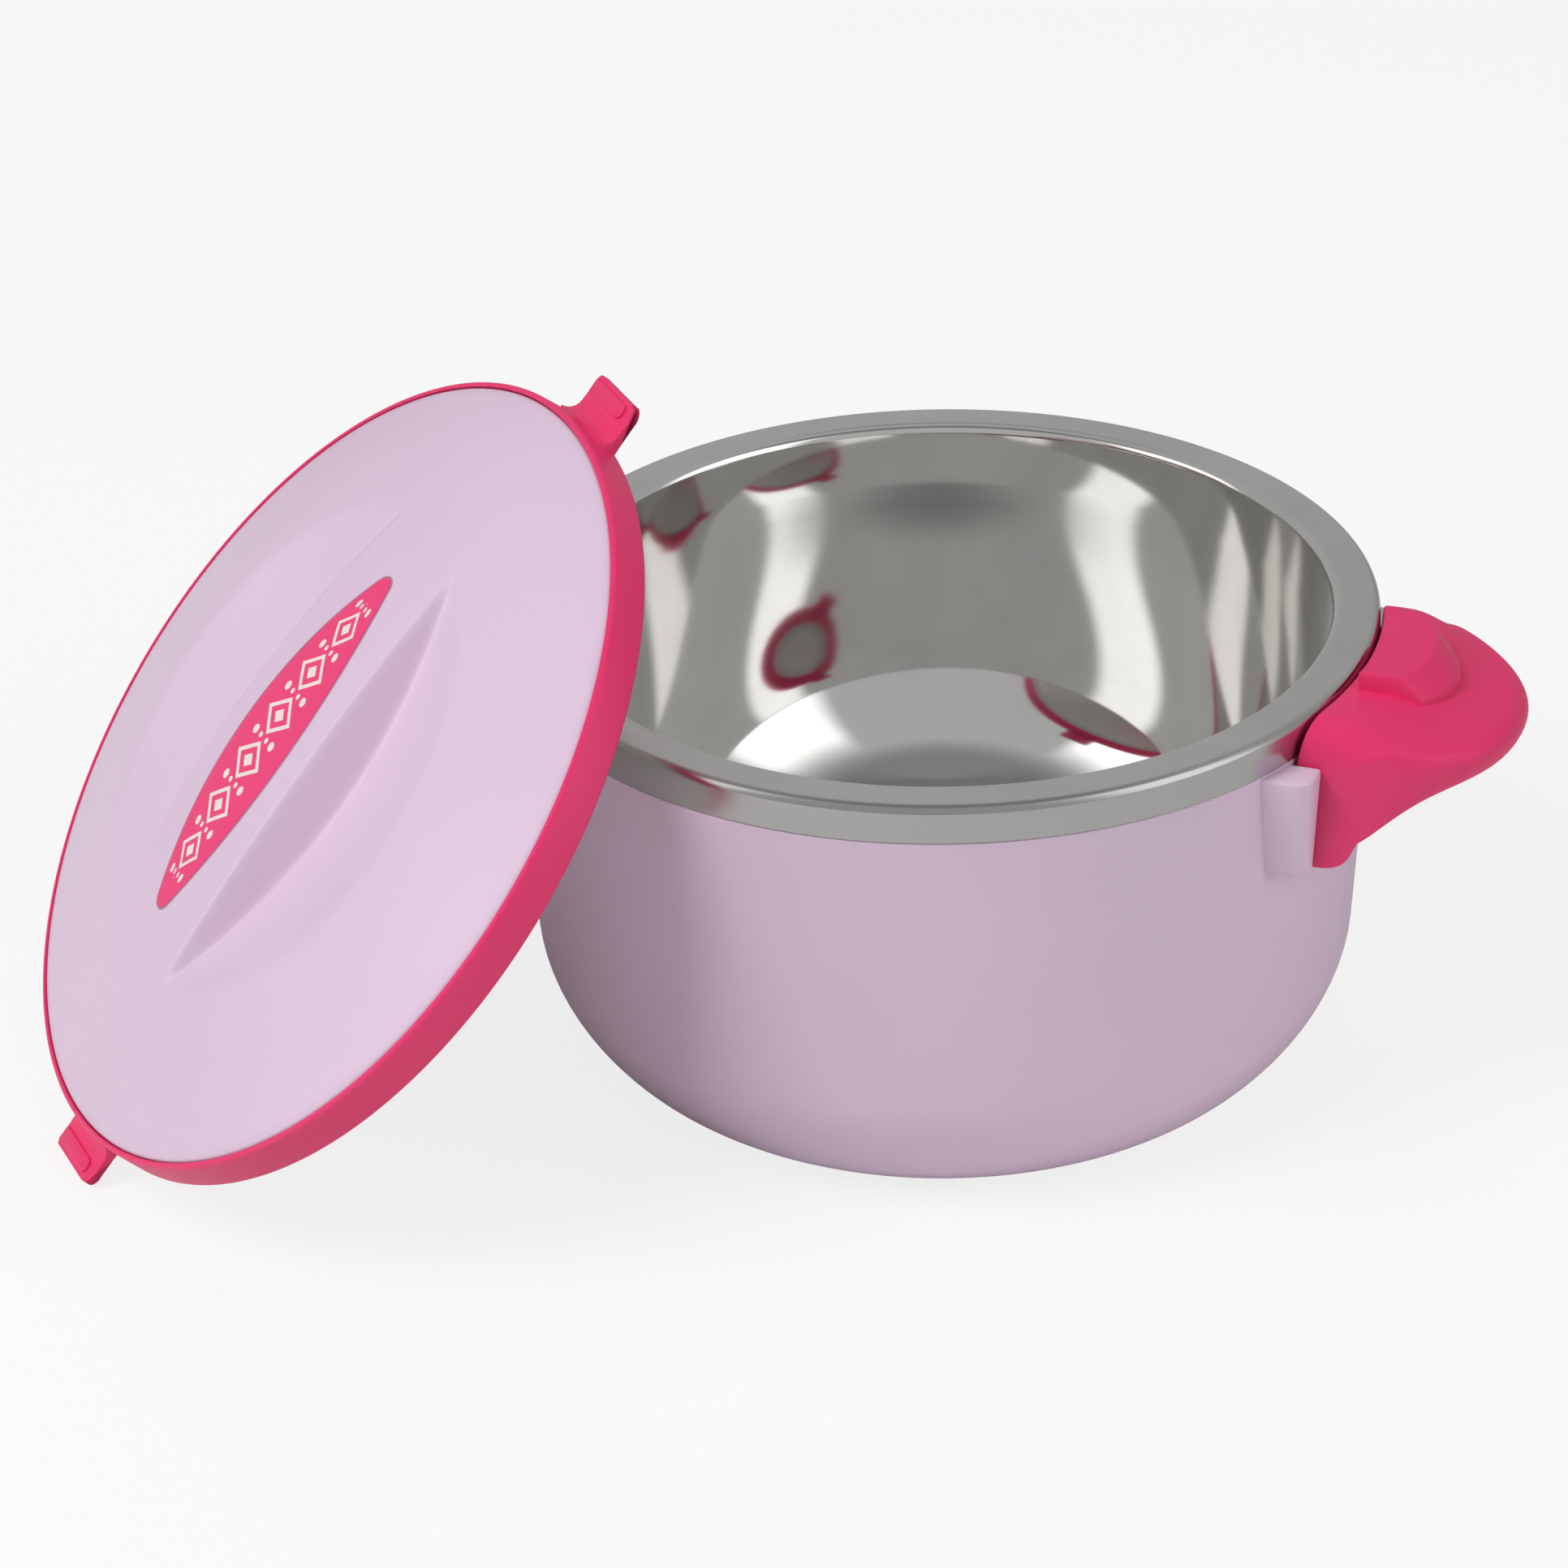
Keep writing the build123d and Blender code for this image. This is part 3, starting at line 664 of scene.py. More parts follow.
def rounded(points, bends, steps):
    """Polyline of radius and height with some corners rounded; bends maps a point's number to a radius."""
    path = []
    count = len(points)
    for i, (px, py) in enumerate(points):
        bend = bends.get(i)
        if not bend:
            path.append((px, py))
            continue
        here = Vector((px, py))
        back = (Vector(points[i - 1]) - here).normalized()
        ahead = (Vector(points[(i + 1) % count]) - here).normalized()
        half = back.angle(ahead) / 2
        middle = here + (back + ahead).normalized() * (bend / sin(half))
        start = here + back * (bend / tan(half)) - middle
        turn = start.angle_signed(here + ahead * (bend / tan(half)) - middle)
        for k in range(steps + 1):
            step = -turn * k / steps
            x = middle.x + start.x * cos(step) - start.y * sin(step)
            y = middle.y + start.x * sin(step) + start.y * cos(step)
            path.append((x, y))
    return path


def cubic(start, first, second, end, steps):
    """Curve from start to end that two more points draw towards themselves."""
    run = []
    for i in range(steps + 1):
        t = i / steps
        k = 1 - t
        spot = start * k**3 + first * 3 * k * k * t + second * 3 * k * t * t + end * t**3
        run.append((spot.x, spot.y))
    return run


def turned(path, steps, closed):
    """Draw a half section point by point and spin it about the upright axis."""
    clear()
    bpy.ops.mesh.primitive_plane_add(size=0.001, location=(0, 0, 0))
    piece = bpy.context.object
    edit()
    bpy.ops.mesh.merge(type="CENTER")
    bpy.ops.transform.translate(value=(path[0][0], 0, path[0][1]))
    for (ax, az), (bx, bz) in zip(path, path[1:] + path[: 1 if closed else 0]):
        bpy.ops.mesh.extrude_vertices_move(TRANSFORM_OT_translate={"value": (bx - ax, 0, bz - az)})
    bpy.ops.mesh.select_all(action="SELECT")
    bpy.ops.mesh.spin(steps=steps, angle=2 * pi, center=(0, 0, 0), axis=(0, 0, 1))
    leave()
    return tidy(piece)


def wrapped(across, along, lay):
    """Add a grid and lay each of its points where a function of its two shares says."""
    clear()
    bpy.ops.mesh.primitive_grid_add(
        x_subdivisions=across, y_subdivisions=along, size=2, location=(0, 0, 0)
    )
    piece = bpy.context.object
    for point in piece.data.vertices:
        point.co = lay((point.co.x + 1) / 2, (point.co.y + 1) / 2)
    return piece


def block(low, high):
    """Box between two corners, with its place in its mesh."""
    clear()
    middle = (Vector(low) + Vector(high)) / 2
    bpy.ops.mesh.primitive_cube_add(size=1, location=middle)
    piece = bpy.context.object
    piece.scale = Vector(high) - Vector(low)
    bpy.ops.object.transform_apply(location=True, rotation=True, scale=True)
    return piece


def pushed(outline, path):
    """Outline drawn with a filled circle's points, then extruded along a path."""
    clear()
    bpy.ops.mesh.primitive_circle_add(vertices=len(outline), fill_type="NGON", location=(0, 0, 0))
    piece = bpy.context.object
    for point, spot in zip(piece.data.vertices, outline):
        point.co = spot
    edit()
    bpy.ops.mesh.extrude_region_move(TRANSFORM_OT_translate={"value": path})
    leave()
    return tidy(piece)


def cut(piece, tool):
    """Take a tool's shape out of a piece."""
    clear()
    modified(piece, "BOOLEAN", operation="DIFFERENCE", object=tool, solver="EXACT")
    bpy.data.objects.remove(tool)
    return piece


def lid_frame():
    """Place of the lid: its axis, the line of its grip and the middle of its underside."""
    sizes = settings().lid
    out = Vector((cos(sizes.faces), sin(sizes.faces), 0))
    level = Vector((-sin(sizes.faces), cos(sizes.faces), 0))
    axis = out * sin(sizes.tilt) + Vector((0, 0, cos(sizes.tilt)))
    grip = axis.cross(level) * cos(sizes.spin) + level * sin(sizes.spin)
    turn = Matrix((grip, axis.cross(grip), axis)).transposed().to_4x4()
    return Matrix.Translation(sizes.middle) @ turn


def bowl_bend(sizes, sheet):
    """Soft run from the floor up to the wall, on the inside or one sheet further out."""
    corner = Vector((sizes.floor_radius + sheet, sizes.floor_height - sheet))
    depth = sizes.rim_height - sizes.floor_height
    wall = Vector((sizes.mouth_radius - sizes.floor_radius, depth)).normalized()
    start = corner - Vector((sizes.bend_reach, 0))
    end = corner + wall * sizes.bend_height
    first, second = start.lerp(corner, sizes.bend_pull), end.lerp(corner, sizes.bend_pull)
    return cubic(start, first, second, end, 32)


def steel_bowl_section(sizes):
    """Half section of the steel bowl: floor, wall, flange and skirt."""
    sheet = sizes.steel
    rim, mouth, high = sizes.rim_radius, sizes.mouth_radius, sizes.rim_height
    foot = high - sizes.rim_skirt
    inside, outside = bowl_bend(sizes, 0), bowl_bend(sizes, sheet)
    flange = [
        inside[-1],
        (mouth, high),
        (rim, high),
        (rim, foot),
        (rim - sheet, foot),
        (rim - sheet, high - sheet),
        (mouth + sheet, high - sheet),
        outside[-1],
    ]
    bend = sizes.rim_bend
    hem = sheet * 0.45  # rounding of the skirt's lower edge
    hidden = bend - sheet
    bends = {1: bend, 2: bend, 3: hem, 4: hem, 5: hidden, 6: hidden}
    low = sizes.floor_height
    small = sizes.floor_radius * 0.2  # a ring around the middle keeps its triangles short
    middle = [(0, low), (small, low)]
    return middle + inside[:-1] + rounded(flange, bends, 10) + outside[-2::-1] + [(0, low - sheet)]


def shell_section(sizes):
    """Closed half section of the outer shell, from the base's recess round to its inside."""
    lean = tan(sizes.shell_draft)
    high = sizes.rim_height - sizes.rim_skirt
    wide = sizes.rim_radius - sizes.shell_step
    waist = wide - (high - sizes.curve_height) * lean
    neck = sizes.rim_radius - sizes.steel - FIT
    neck_top = sizes.rim_height - sizes.steel - FIT
    wall = sizes.shell_wall
    edge = 0.0004  # bevel of the shell's top edge
    slope = 0.0035  # height over which the wall runs out to that edge
    corner = 0.002  # bevel of the neck inside the steel skirt

    def lower(inset, floor):
        """Curve from the base up to the waist."""
        base = Vector((sizes.base_radius - inset, floor))
        side = Vector((waist - inset, sizes.curve_height))
        chord = (side - base).length
        first = base + Vector((1, 0)) * chord * sizes.base_pull
        second = side - Vector((lean, 1)).normalized() * chord * sizes.wall_pull
        return cubic(base, first, second, side, 22)

    recess = sizes.cover_radius + FIT
    return [
        (sizes.filling_hole, sizes.base_wall),
        (sizes.filling_hole, sizes.cover_thickness),
        (recess, sizes.cover_thickness),
        (recess, 0),
        *lower(0, 0),
        (wide - edge, high - slope),
        (wide, high - edge),
        (wide - edge, high),
        (neck, high),
        (neck, neck_top - corner),
        (neck - corner, neck_top),
        (neck - wall, neck_top),
        (wide - wall, high - corner),
        *reversed(lower(wall, sizes.base_wall)),
    ]


def ear(sizes, bowl, side):
    """Ear that carries one end of a handle, in the handle's frame."""
    face = sizes.half_width + sizes.ear_gap
    far = face + sizes.ear_width
    outer = sqrt((bowl.rim_radius + sizes.gap) ** 2 - face**2) + sizes.ear_proud
    inner = sqrt((bowl.rim_radius - bowl.shell_wall) ** 2 - far**2) - sizes.ear_corner
    top = bowl.rim_height - bowl.rim_skirt - sizes.ear_drop
    foot = top - sizes.ear_height
    piece = block((inner, face, foot), (outer, far, top))
    edit()
    choose(piece, lambda p: p.z < foot + NEAR and p.y > far - NEAR)
    bpy.ops.transform.translate(value=(0, -sizes.ear_taper, 0))
    choose(piece, lambda p: p.z < foot + NEAR and p.x > outer - NEAR)
    bpy.ops.transform.translate(value=(-sizes.ear_lean, 0, 0))
    choose(piece, lambda p: p.x > outer - sizes.ear_lean - NEAR and p.y > far - sizes.ear_taper - NEAR)
    bpy.ops.mesh.bevel(offset=sizes.ear_corner, segments=10, affect="EDGES")
    leave()
    softened(piece, width=0.0009, segments=4, limit=40)
    if side < 0:
        mirrored(piece, 1)
    return tidy(piece)


# The handle seen from above: its nose is a superellipse with these two powers
NOSE_POWERS = (2.3, 0.64)
SHOULDER_FALL = 1.12  # fall of the rounded ends of the handle's top, as a share of their length
FLAT_SHARE = 0.3  # share of the handle's reach where its top is flat
TIP_SHARE = 0.2  # share of the nose that is round, besides a least length
TIP_LEAST = 0.0008
NOSE_STEP = 0.001  # the nose's top lies at least this far below the handle's
ROOT_EDGE = 0.006  # the underside meets the root this far above the heel
TOP_EASE = 0.6  # how much of the top's fall to the nose has soft ends
UNDER_POWER = 1.9  # how hollow the underside is
# Roundings of the section's corners: each point's distance from the corner, sideways and in height
BACK_EDGE = ((0, 0.0012), (0.0004, 0.0003), (0.0014, 0))
ROOT_FOOT = ((0.001, 0.0034), (0.0034, 0.0012), (0.007, 0))
BACK_FOOT = ((0.003, 0), (0.0008, 0.0006), (0, 0.0025))
# Bands along the handle, as shares from one end to its middle, close together where it turns
HANDLE_BANDS = (0, 0.004, 0.012, 0.025, 0.045, 0.07, 0.095, 0.12, 0.16, 0.2, 0.26, 0.33, 0.41, 0.5)
END_RINGS = (0.97, 0.9, 0.5)  # size of each ring that closes an end, as a share of the one before


def handle_section(sizes, bowl, y):
    """Handle's section at one place along the rim, as a closed run of points."""
    rim, root, shoulder = bowl.rim_height, sizes.root_reach, sizes.shoulder
    start = sqrt((bowl.rim_radius + sizes.gap) ** 2 - y * y)
    out = min(abs(y) / sizes.half_width, 1.0)
    reach = root + (sizes.reach - root) * max(1 - out ** NOSE_POWERS[0], 0) ** NOSE_POWERS[1]
    over = max(abs(y) - (sizes.half_width - shoulder), 0) / shoulder
    top = rim - sizes.top_drop - SHOULDER_FALL * shoulder * (1 - sqrt(max(1 - over * over, 0)))
    nose_top = min(rim - sizes.nose_drop + sizes.nose_lift * out**4, top - NOSE_STEP)
    nose_low = rim - sizes.nose_drop - sizes.nose_thickness - sizes.nose_sag * out**8
    heel = rim - sizes.root_height
    middle = (start, (top + heel) / 2)
    back = [(start + x, top - z) for x, z in BACK_EDGE]
    nose = nose_run(start, root, reach, top, nose_top, nose_low, heel + ROOT_EDGE)
    foot = [(root - x, heel + z) for x, z in ROOT_FOOT] + [(start + x, heel + z) for x, z in BACK_FOOT]
    return [middle, *back, *nose, *foot, middle]


def nose_run(start, root, reach, top, nose_top, nose_low, foot):
    """Outer part of a handle's section: over the top, round the tip and back under to the root."""
    flat = start + FLAT_SHARE * (reach - start)
    tip = reach - TIP_SHARE * (reach - root) - TIP_LEAST
    run = []
    for i in range(9):
        s = i / 8
        ease = s * s * (3 - 2 * s) * TOP_EASE + s * (1 - TOP_EASE)
        run.append((flat + (tip - flat) * s, top + (nose_top - top) * ease))
    middle, half = (nose_top + nose_low) / 2, (nose_top - nose_low) / 2
    for i in range(1, 8):
        turn = pi / 2 - pi * i / 8
        run.append((tip + (reach - tip) * cos(turn), middle + half * sin(turn)))
    for i in range(13):
        s = i / 12
        run.append((tip + (root - tip) * s, foot + (nose_low - foot) * (1 - s**UNDER_POWER)))
    return run


def along_path(path, share):
    """Point at a share of a run's points."""
    spot = share * (len(path) - 1)
    i = min(int(spot), len(path) - 2)
    f = spot - i
    (ax, az), (bx, bz) = path[i], path[i + 1]
    return ax + (bx - ax) * f, az + (bz - az) * f


def handle_skin(sizes, bowl):
    """The handle's soft body, closed at both ends and smoothed."""
    half = sizes.half_width
    bands = [*HANDLE_BANDS, *(1 - band for band in reversed(HANDLE_BANDS[:-1]))]
    last = len(bands) - 1

    def lay(around, along):
        """The first share runs round the section, the second along the rim."""
        y = (2 * bands[round(along * last)] - 1) * half
        x, z = along_path(handle_section(sizes, bowl, y), around)
        return Vector((x, y, z))

    piece = tidy(wrapped(len(handle_section(sizes, bowl, 0)) - 1, last, lay))
    middle_height = bowl.rim_height - 0.64 * sizes.root_height
    middle = ((sizes.root_reach + sizes.pivot_reach) / 2, 0, middle_height)
    edit()
    for end in (1, -1):
        choose(piece, lambda p: p.y * end > half - NEAR)
        for size in END_RINGS:
            bpy.ops.mesh.extrude_edges_move()
            bpy.ops.transform.resize(value=(size, 1, size), center_override=middle)
        bpy.ops.mesh.merge(type="CENTER")
    leave()
    return modified(tidy(piece), "SUBSURF", levels=2, render_levels=2)


def catch_block(sizes, bowl):
    """Block on the handle's top with a bowed outer edge and a pocket for the lid's tab."""
    inner = bowl.rim_radius + sizes.gap + sizes.catch_back
    high = bowl.rim_height + sizes.catch_height
    flat = inner + sizes.catch_flat
    outer = flat + sizes.catch_bevel
    low = high - sizes.catch_slope
    draw_in = (0, 0.0004, 0.001, 0.0012)  # both ends of each row draw in by this much
    front_bow = 1.3  # the front bows out this many times as far as the flat
    front_lean, front_height = 0.0003, 0.001
    depth = 0.007  # thickness of the block, which sinks into the handle

    def lay(across, along):
        """Rows from the back over the flat and the slope to the front's foot."""
        row = round(across * 3)
        half = sizes.catch_half_width - draw_in[row]
        y = (2 * along - 1) * half
        bow = sizes.catch_bow * (y / half) ** 2
        front = outer - bow * front_bow
        x = (sqrt(inner**2 - y * y), flat - bow, front, front + front_lean)[row]
        return Vector((x, y, (high, high, low, low - front_height)[row]))

    piece = wrapped(3, 16, lay)
    edit()
    bpy.ops.mesh.extrude_region_move(TRANSFORM_OT_translate={"value": (0, 0, -depth)})
    leave()
    softened(tidy(piece), width=0.0006, segments=3, limit=24)
    roof = high - sizes.pocket_roof
    half = sizes.pocket_half_width
    mouth = inner - 0.01  # well clear of the block's back
    room = block((mouth, -half, roof - sizes.pocket_height), (inner + sizes.pocket_depth, half, roof))
    return cut(piece, room)


def pivot_stub(sizes, bowl, side):
    """Moulded pin at one end of a handle."""
    clear()
    sunk = 0.0002
    y = sizes.half_width + sizes.pivot_length / 2 - sunk
    bpy.ops.mesh.primitive_cylinder_add(
        vertices=32,
        radius=sizes.pivot_radius,
        depth=sizes.pivot_length,
        location=(sizes.pivot_reach, side * y, bowl.rim_height - sizes.pivot_drop),
        rotation=(pi / 2, 0, 0),
    )
    piece = bpy.context.object
    bpy.ops.object.transform_apply(location=True, rotation=True, scale=True)
    return softened(piece, width=0.0003, segments=2, limit=40)


def cover_height(sizes, x, y):
    """Height of the lid's cover: a dome with a round dish, and the grip that crosses it."""
    r = hypot(x, y)
    edge = sizes.ring_radius - sizes.ring_taper - sizes.ring_lip
    fall_dish = sizes.cover_top - sizes.dish_edge
    fall_edge = sizes.cover_top - sizes.cover_edge
    ratio = (edge / sizes.dish_radius) ** 2
    steep = (fall_edge - ratio * fall_dish) / (edge**4 - ratio * sizes.dish_radius**4)
    gentle = (fall_dish - steep * sizes.dish_radius**4) / sizes.dish_radius**2
    dome = sizes.cover_top - gentle * r**2 - steep * r**4
    rise = sizes.dish_edge - sizes.dish_floor
    round_radius = (sizes.dish_radius**2 + rise**2) / (2 * rise)
    dish = sizes.dish_floor + round_radius - sqrt(round_radius**2 - r * r)
    narrow = (sizes.grip_half_width - sizes.grip_end_half_width) * (x / sizes.dish_radius) ** 2
    side = sizes.cover_top - (abs(y) - sizes.grip_half_width + narrow) / tan(sizes.grip_draft)
    valley = -soft_least(-dish, -side, sizes.valley_bend)
    return soft_least(dome, valley, sizes.crest_bend)


def soft_least(first, second, reach):
    """Smaller of two heights, rounded where they cross."""
    near = max(reach - abs(first - second), 0) / reach
    return min(first, second) - near * near * reach / 4


def lid_cover_skin(sizes):
    """Cover drawn as rings of points around the lid's axis, close together where dish and grip end."""
    seam = 0.0004  # gap between cover and ring
    turn_down, drop = 0.0006, 0.0005  # width and fall of the rounded edge
    tuck = 0.96  # the hidden flange goes in to this share of the edge's radius
    edge = sizes.ring_radius - sizes.ring_taper - sizes.ring_lip - seam
    fine_start, fine_step, fine_end = 0.022, 0.0006, 0.073
    rings = [fine_start * i / 11 for i in range(11)]
    rings += [fine_start + fine_step * i for i in range(84)]
    rings += [fine_end + (edge - turn_down - fine_end) * i / 20 for i in range(21)]
    rings += [edge - 0.3 * turn_down, edge]
    last = len(rings) - 1

    def lay(across, along):
        r = rings[round(along * last)]
        turn = 2 * pi * across
        x, y = r * cos(turn), r * sin(turn)
        lower = max(r - (edge - turn_down), 0) / turn_down
        return Vector((x, y, cover_height(sizes, x, y) - drop * lower * lower))

    piece = tidy(wrapped(512, last, lay))
    down = sizes.ring_ledge - sizes.cover_edge + turn_down
    edit()
    choose(piece, lambda p: hypot(p.x, p.y) > edge - NEAR)
    bpy.ops.mesh.extrude_edges_move(TRANSFORM_OT_translate={"value": (0, 0, down)})
    bpy.ops.mesh.extrude_edges_move()
    bpy.ops.transform.resize(value=(tuck, tuck, 1), center_override=(0, 0, 0))
    leave()
    return tidy(piece)


def inlay_edge(sizes, grow=0.0):
    """Pointed oval of two arcs: their radius, the arcs' middle, the tips' radius and the tips' middle."""
    wide = sizes.inlay_half_width
    radius = (sizes.inlay_half_length**2 + wide**2) / (2 * wide)
    tip = sizes.inlay_tip
    tip_middle = sqrt((radius - tip) ** 2 - (radius - wide) ** 2)
    return radius + grow, wide - radius, tip + grow, tip_middle


def inlay_skin(sizes):
    """Inlay that follows the grip's top, with a softened edge."""
    half_bands = (0.25, 0.5, 0.75, 0.9, 0.97, 0.992, 1)
    bands = [*(-band for band in reversed(half_bands)), 0, *half_bands]
    last = len(bands) - 1
    radius, arc_middle, tip, tip_middle = inlay_edge(sizes)
    end = tip_middle + tip
    meet = tip_middle * radius / (radius - tip)
    # Heights above the grip
    top = sizes.inlay_proud
    shoulder = top * 0.72
    foot = -0.0002

    def lay(across, along):
        x = end * sin(pi * (across - 0.5))
        spread = bands[round(along * last)]
        if abs(x) < meet:
            half = arc_middle + sqrt(radius**2 - x * x)
        else:
            half = sqrt(max(tip**2 - (abs(x) - tip_middle) ** 2, 0))
        y = spread * half
        lift = {half_bands[-1]: foot, half_bands[-2]: shoulder}.get(abs(spread), top)
        return Vector((x, y, cover_height(sizes, x, y) + lift))

    piece = wrapped(140, last, lay)
    return modified(tidy(piece), "SOLIDIFY", thickness=0.0006, offset=-1)


def ring_section(sizes):
    """Closed half section of the pink ring."""
    outer = sizes.ring_radius - sizes.ring_taper
    lip = outer - sizes.ring_lip
    inside = lip - sizes.ring_wall
    liner = sizes.liner_radius + FIT
    points = [
        (sizes.ring_radius, 0),
        (outer, sizes.ring_height),
        (lip, sizes.ring_height),
        (lip, sizes.ring_ledge),
        (inside, sizes.ring_ledge),
        (inside, sizes.liner_seat),
        (liner, sizes.liner_seat),
        (liner, 0),
    ]
    foot_edge, top_edge, lip_edge = 0.0009, 0.0012, 0.0003
    return rounded(points, {0: foot_edge, 1: top_edge, 2: lip_edge}, 6)


def tab_form(sizes, side):
    """Tab with a hollow root, a thick rounded edge and a raised bar near its end."""
    ring, wide, hollow = sizes.ring_radius, sizes.tab_half_width, sizes.tab_hollow
    tip = ring + sizes.tab_reach
    thick = sizes.tab_thickness
    near_corner, far_corner = 0.0042, 0.0014
    flare = 0.04  # the root is wider by this share
    root = ring - 0.004  # well inside the ring
    heel = ring + 0.002
    bend = ring + 0.0034  # the hollow starts here
    low = thick + 0.0002  # the plate's top at the hollow
    steps = [tip - near_corner * (1 - sin(pi / 2 * i / 7)) for i in range(8)]
    outline = [(root, 0), (heel, 0)]
    outline += [(x, 0) for x in steps]
    outline += [(x, thick) for x in reversed(steps)]
    for i in range(7):
        turn = pi / 2 * i / 6
        outline.append((bend - hollow * sin(turn), low + hollow * (1 - cos(turn))))
    outline.append((root, low + hollow))
    piece = pushed([Vector((x, -wide, z)) for x, z in outline], (0, 2 * wide, 0))
    for point in piece.data.vertices:
        corner = near_corner if point.co.y < 0 else far_corner
        over = min(max(point.co.x - (tip - corner), 0), corner)
        point.co.y -= (corner - sqrt(corner**2 - over**2)) * (1 if point.co.y > 0 else -1)
        near = max(bend - point.co.x, 0) / hollow
        point.co.y *= 1 + flare * min(near, 1.0) ** 2
    softened(piece, width=0.0011, segments=4, limit=38)
    joined(piece, tab_bar(tip, wide, thick))
    if side < 0:
        mirrored(piece, 0)
    return tidy(piece)


def tab_bar(tip, wide, thick):
    """Raised bar near a tab's end, round at one end."""
    inner, outer = tip - 0.0056, tip - 0.0013
    near, far = 0.0045 - wide, wide - 0.0008
    low, high = thick - 0.0004, thick + 0.0007
    round_end = 0.002
    bar = block((inner, near, low), (outer, far, high))
    edit()
    for outwards in (1, -1):
        choose(bar, lambda p: p.y < 0 and (p.x - (inner + outer) / 2) * outwards > 0)
        bpy.ops.mesh.bevel(offset=round_end, segments=7, affect="EDGES")
    leave()
    return softened(bar, width=0.00022, segments=2, limit=40)


def liner_section(sizes):
    """Half section of the pan under the lid."""
    sheet, radius, seat = sizes.liner_sheet, sizes.liner_radius, sizes.liner_seat
    flange = radius + sizes.liner_flange
    low = -sizes.liner_depth
    points = [
        (0, low),
        (radius * 0.5, low),
        (radius, low),
        (radius, seat),
        (flange, seat),
        (flange, seat + sheet),
        (radius - sheet, seat + sheet),
        (radius - sheet, low + sheet),
        (0, low + sheet),
    ]
    outer_bend, inner_bend = 0.0018, 0.0008
    return rounded(points, {2: outer_bend, 7: inner_bend}, 8)


def seal_section(sizes):
    """Closed half section of the rubber seal, which narrows to a lip."""
    inner, lip = sizes.liner_radius + FIT, sizes.seal_radius
    lip_top, lip_low = -0.0011, -0.0022
    lip_bend = 0.0004
    points = [
        (inner, 0),
        ((inner + lip) / 2, 0),
        (lip, lip_top),
        (lip, lip_low),
        (inner, -sizes.liner_depth),
    ]
    return rounded(points, {2: lip_bend, 3: lip_bend}, 4)


class SERVING_OT_steel_bowl(bpy.types.Operator):
    """Model the steel bowl with its flange and skirt"""

    bl_idname = "serving.steel_bowl"
    bl_label = "Steel bowl"

    def execute(self, context):
        sizes = settings().bowl
        piece = turned(steel_bowl_section(sizes), sizes.steps, False)
        finished(piece, "inner_bowl", "bowl", steel_finish("polished_steel"))
        return {"FINISHED"}


class SERVING_OT_outer_shell(bpy.types.Operator):
    """Model the lavender shell with the ears for both handles, and give the base cover its finish"""

    bl_idname = "serving.outer_shell"
    bl_label = "Outer shell"

    def execute(self, context):
        sizes, handle, finish = settings().bowl, settings().handle, settings().finish
        piece = turned(shell_section(sizes), sizes.steps, True)
        ears = []
        for turn in (handle.azimuth, handle.azimuth + pi):
            for side in (1, -1):
                ears.append(settled(ear(handle, sizes, side), Matrix.Rotation(turn, 4, "Z")))
        joined(piece, *ears)
        skin = moulded_plastic("lavender_shell", finish.shell, finish.shell_gloss, grain=0.12)
        finished(piece, "outer_shell", "bowl", skin)
        dressed(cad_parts["base_cover"], skin)
        return {"FINISHED"}


class SERVING_OT_insulation(bpy.types.Operator):
    """Give the hidden foam its finish"""

    bl_idname = "serving.insulation"
    bl_label = "Insulation"

    def execute(self, context):
        foam = foam_finish("insulating_foam")
        for name in ("body_insulation", "lid_insulation"):
            dressed(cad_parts[name], foam)
        return {"FINISHED"}


class SERVING_OT_handles(bpy.types.Operator):
    """Model both pink handles with their catch blocks and pivots"""

    bl_idname = "serving.handles"
    bl_label = "Handles"

    def execute(self, context):
        sizes, bowl, finish = settings().handle, settings().bowl, settings().finish
        skin = moulded_plastic("pink_handle", finish.pink, finish.handle_gloss, grain=0.3)
        for name, turn in (("right_handle", sizes.azimuth), ("left_handle", sizes.azimuth + pi)):
            parts = [catch_block(sizes, bowl), pivot_stub(sizes, bowl, 1), pivot_stub(sizes, bowl, -1)]
            piece = joined(handle_skin(sizes, bowl), *parts)
            settled(piece, Matrix.Rotation(turn, 4, "Z"))
            finished(piece, name, name, skin, smooth=40)
        return {"FINISHED"}


class SERVING_OT_lid_ring(bpy.types.Operator):
    """Model the lid's pink ring with its two tabs"""

    bl_idname = "serving.lid_ring"
    bl_label = "Lid ring"

    def execute(self, context):
        sizes, finish = settings().lid, settings().finish
        piece = turned(ring_section(sizes), settings().bowl.steps, True)
        joined(piece, tab_form(sizes, 1), tab_form(sizes, -1))
        settled(piece, lid_frame())
        skin = moulded_plastic("pink_ring", finish.pink, finish.ring_gloss, grain=0.2)
        finished(piece, "lid_ring", "lid", skin)
        return {"FINISHED"}


class SERVING_OT_lid_cover(bpy.types.Operator):
    """Model the lid's lavender cover with its dish and grip, and the inlay"""

    bl_idname = "serving.lid_cover"
    bl_label = "Lid cover and inlay"

    def execute(self, context):
        sizes = settings().lid
        cover = settled(lid_cover_skin(sizes), lid_frame())
        finished(cover, "lid_cover", "lid", cover_finish("lavender_cover"), smooth=60)
        inlay = settled(inlay_skin(sizes), lid_frame())
        finished(inlay, "lid_inlay", "lid", inlay_finish("printed_inlay"), smooth=40)
        return {"FINISHED"}


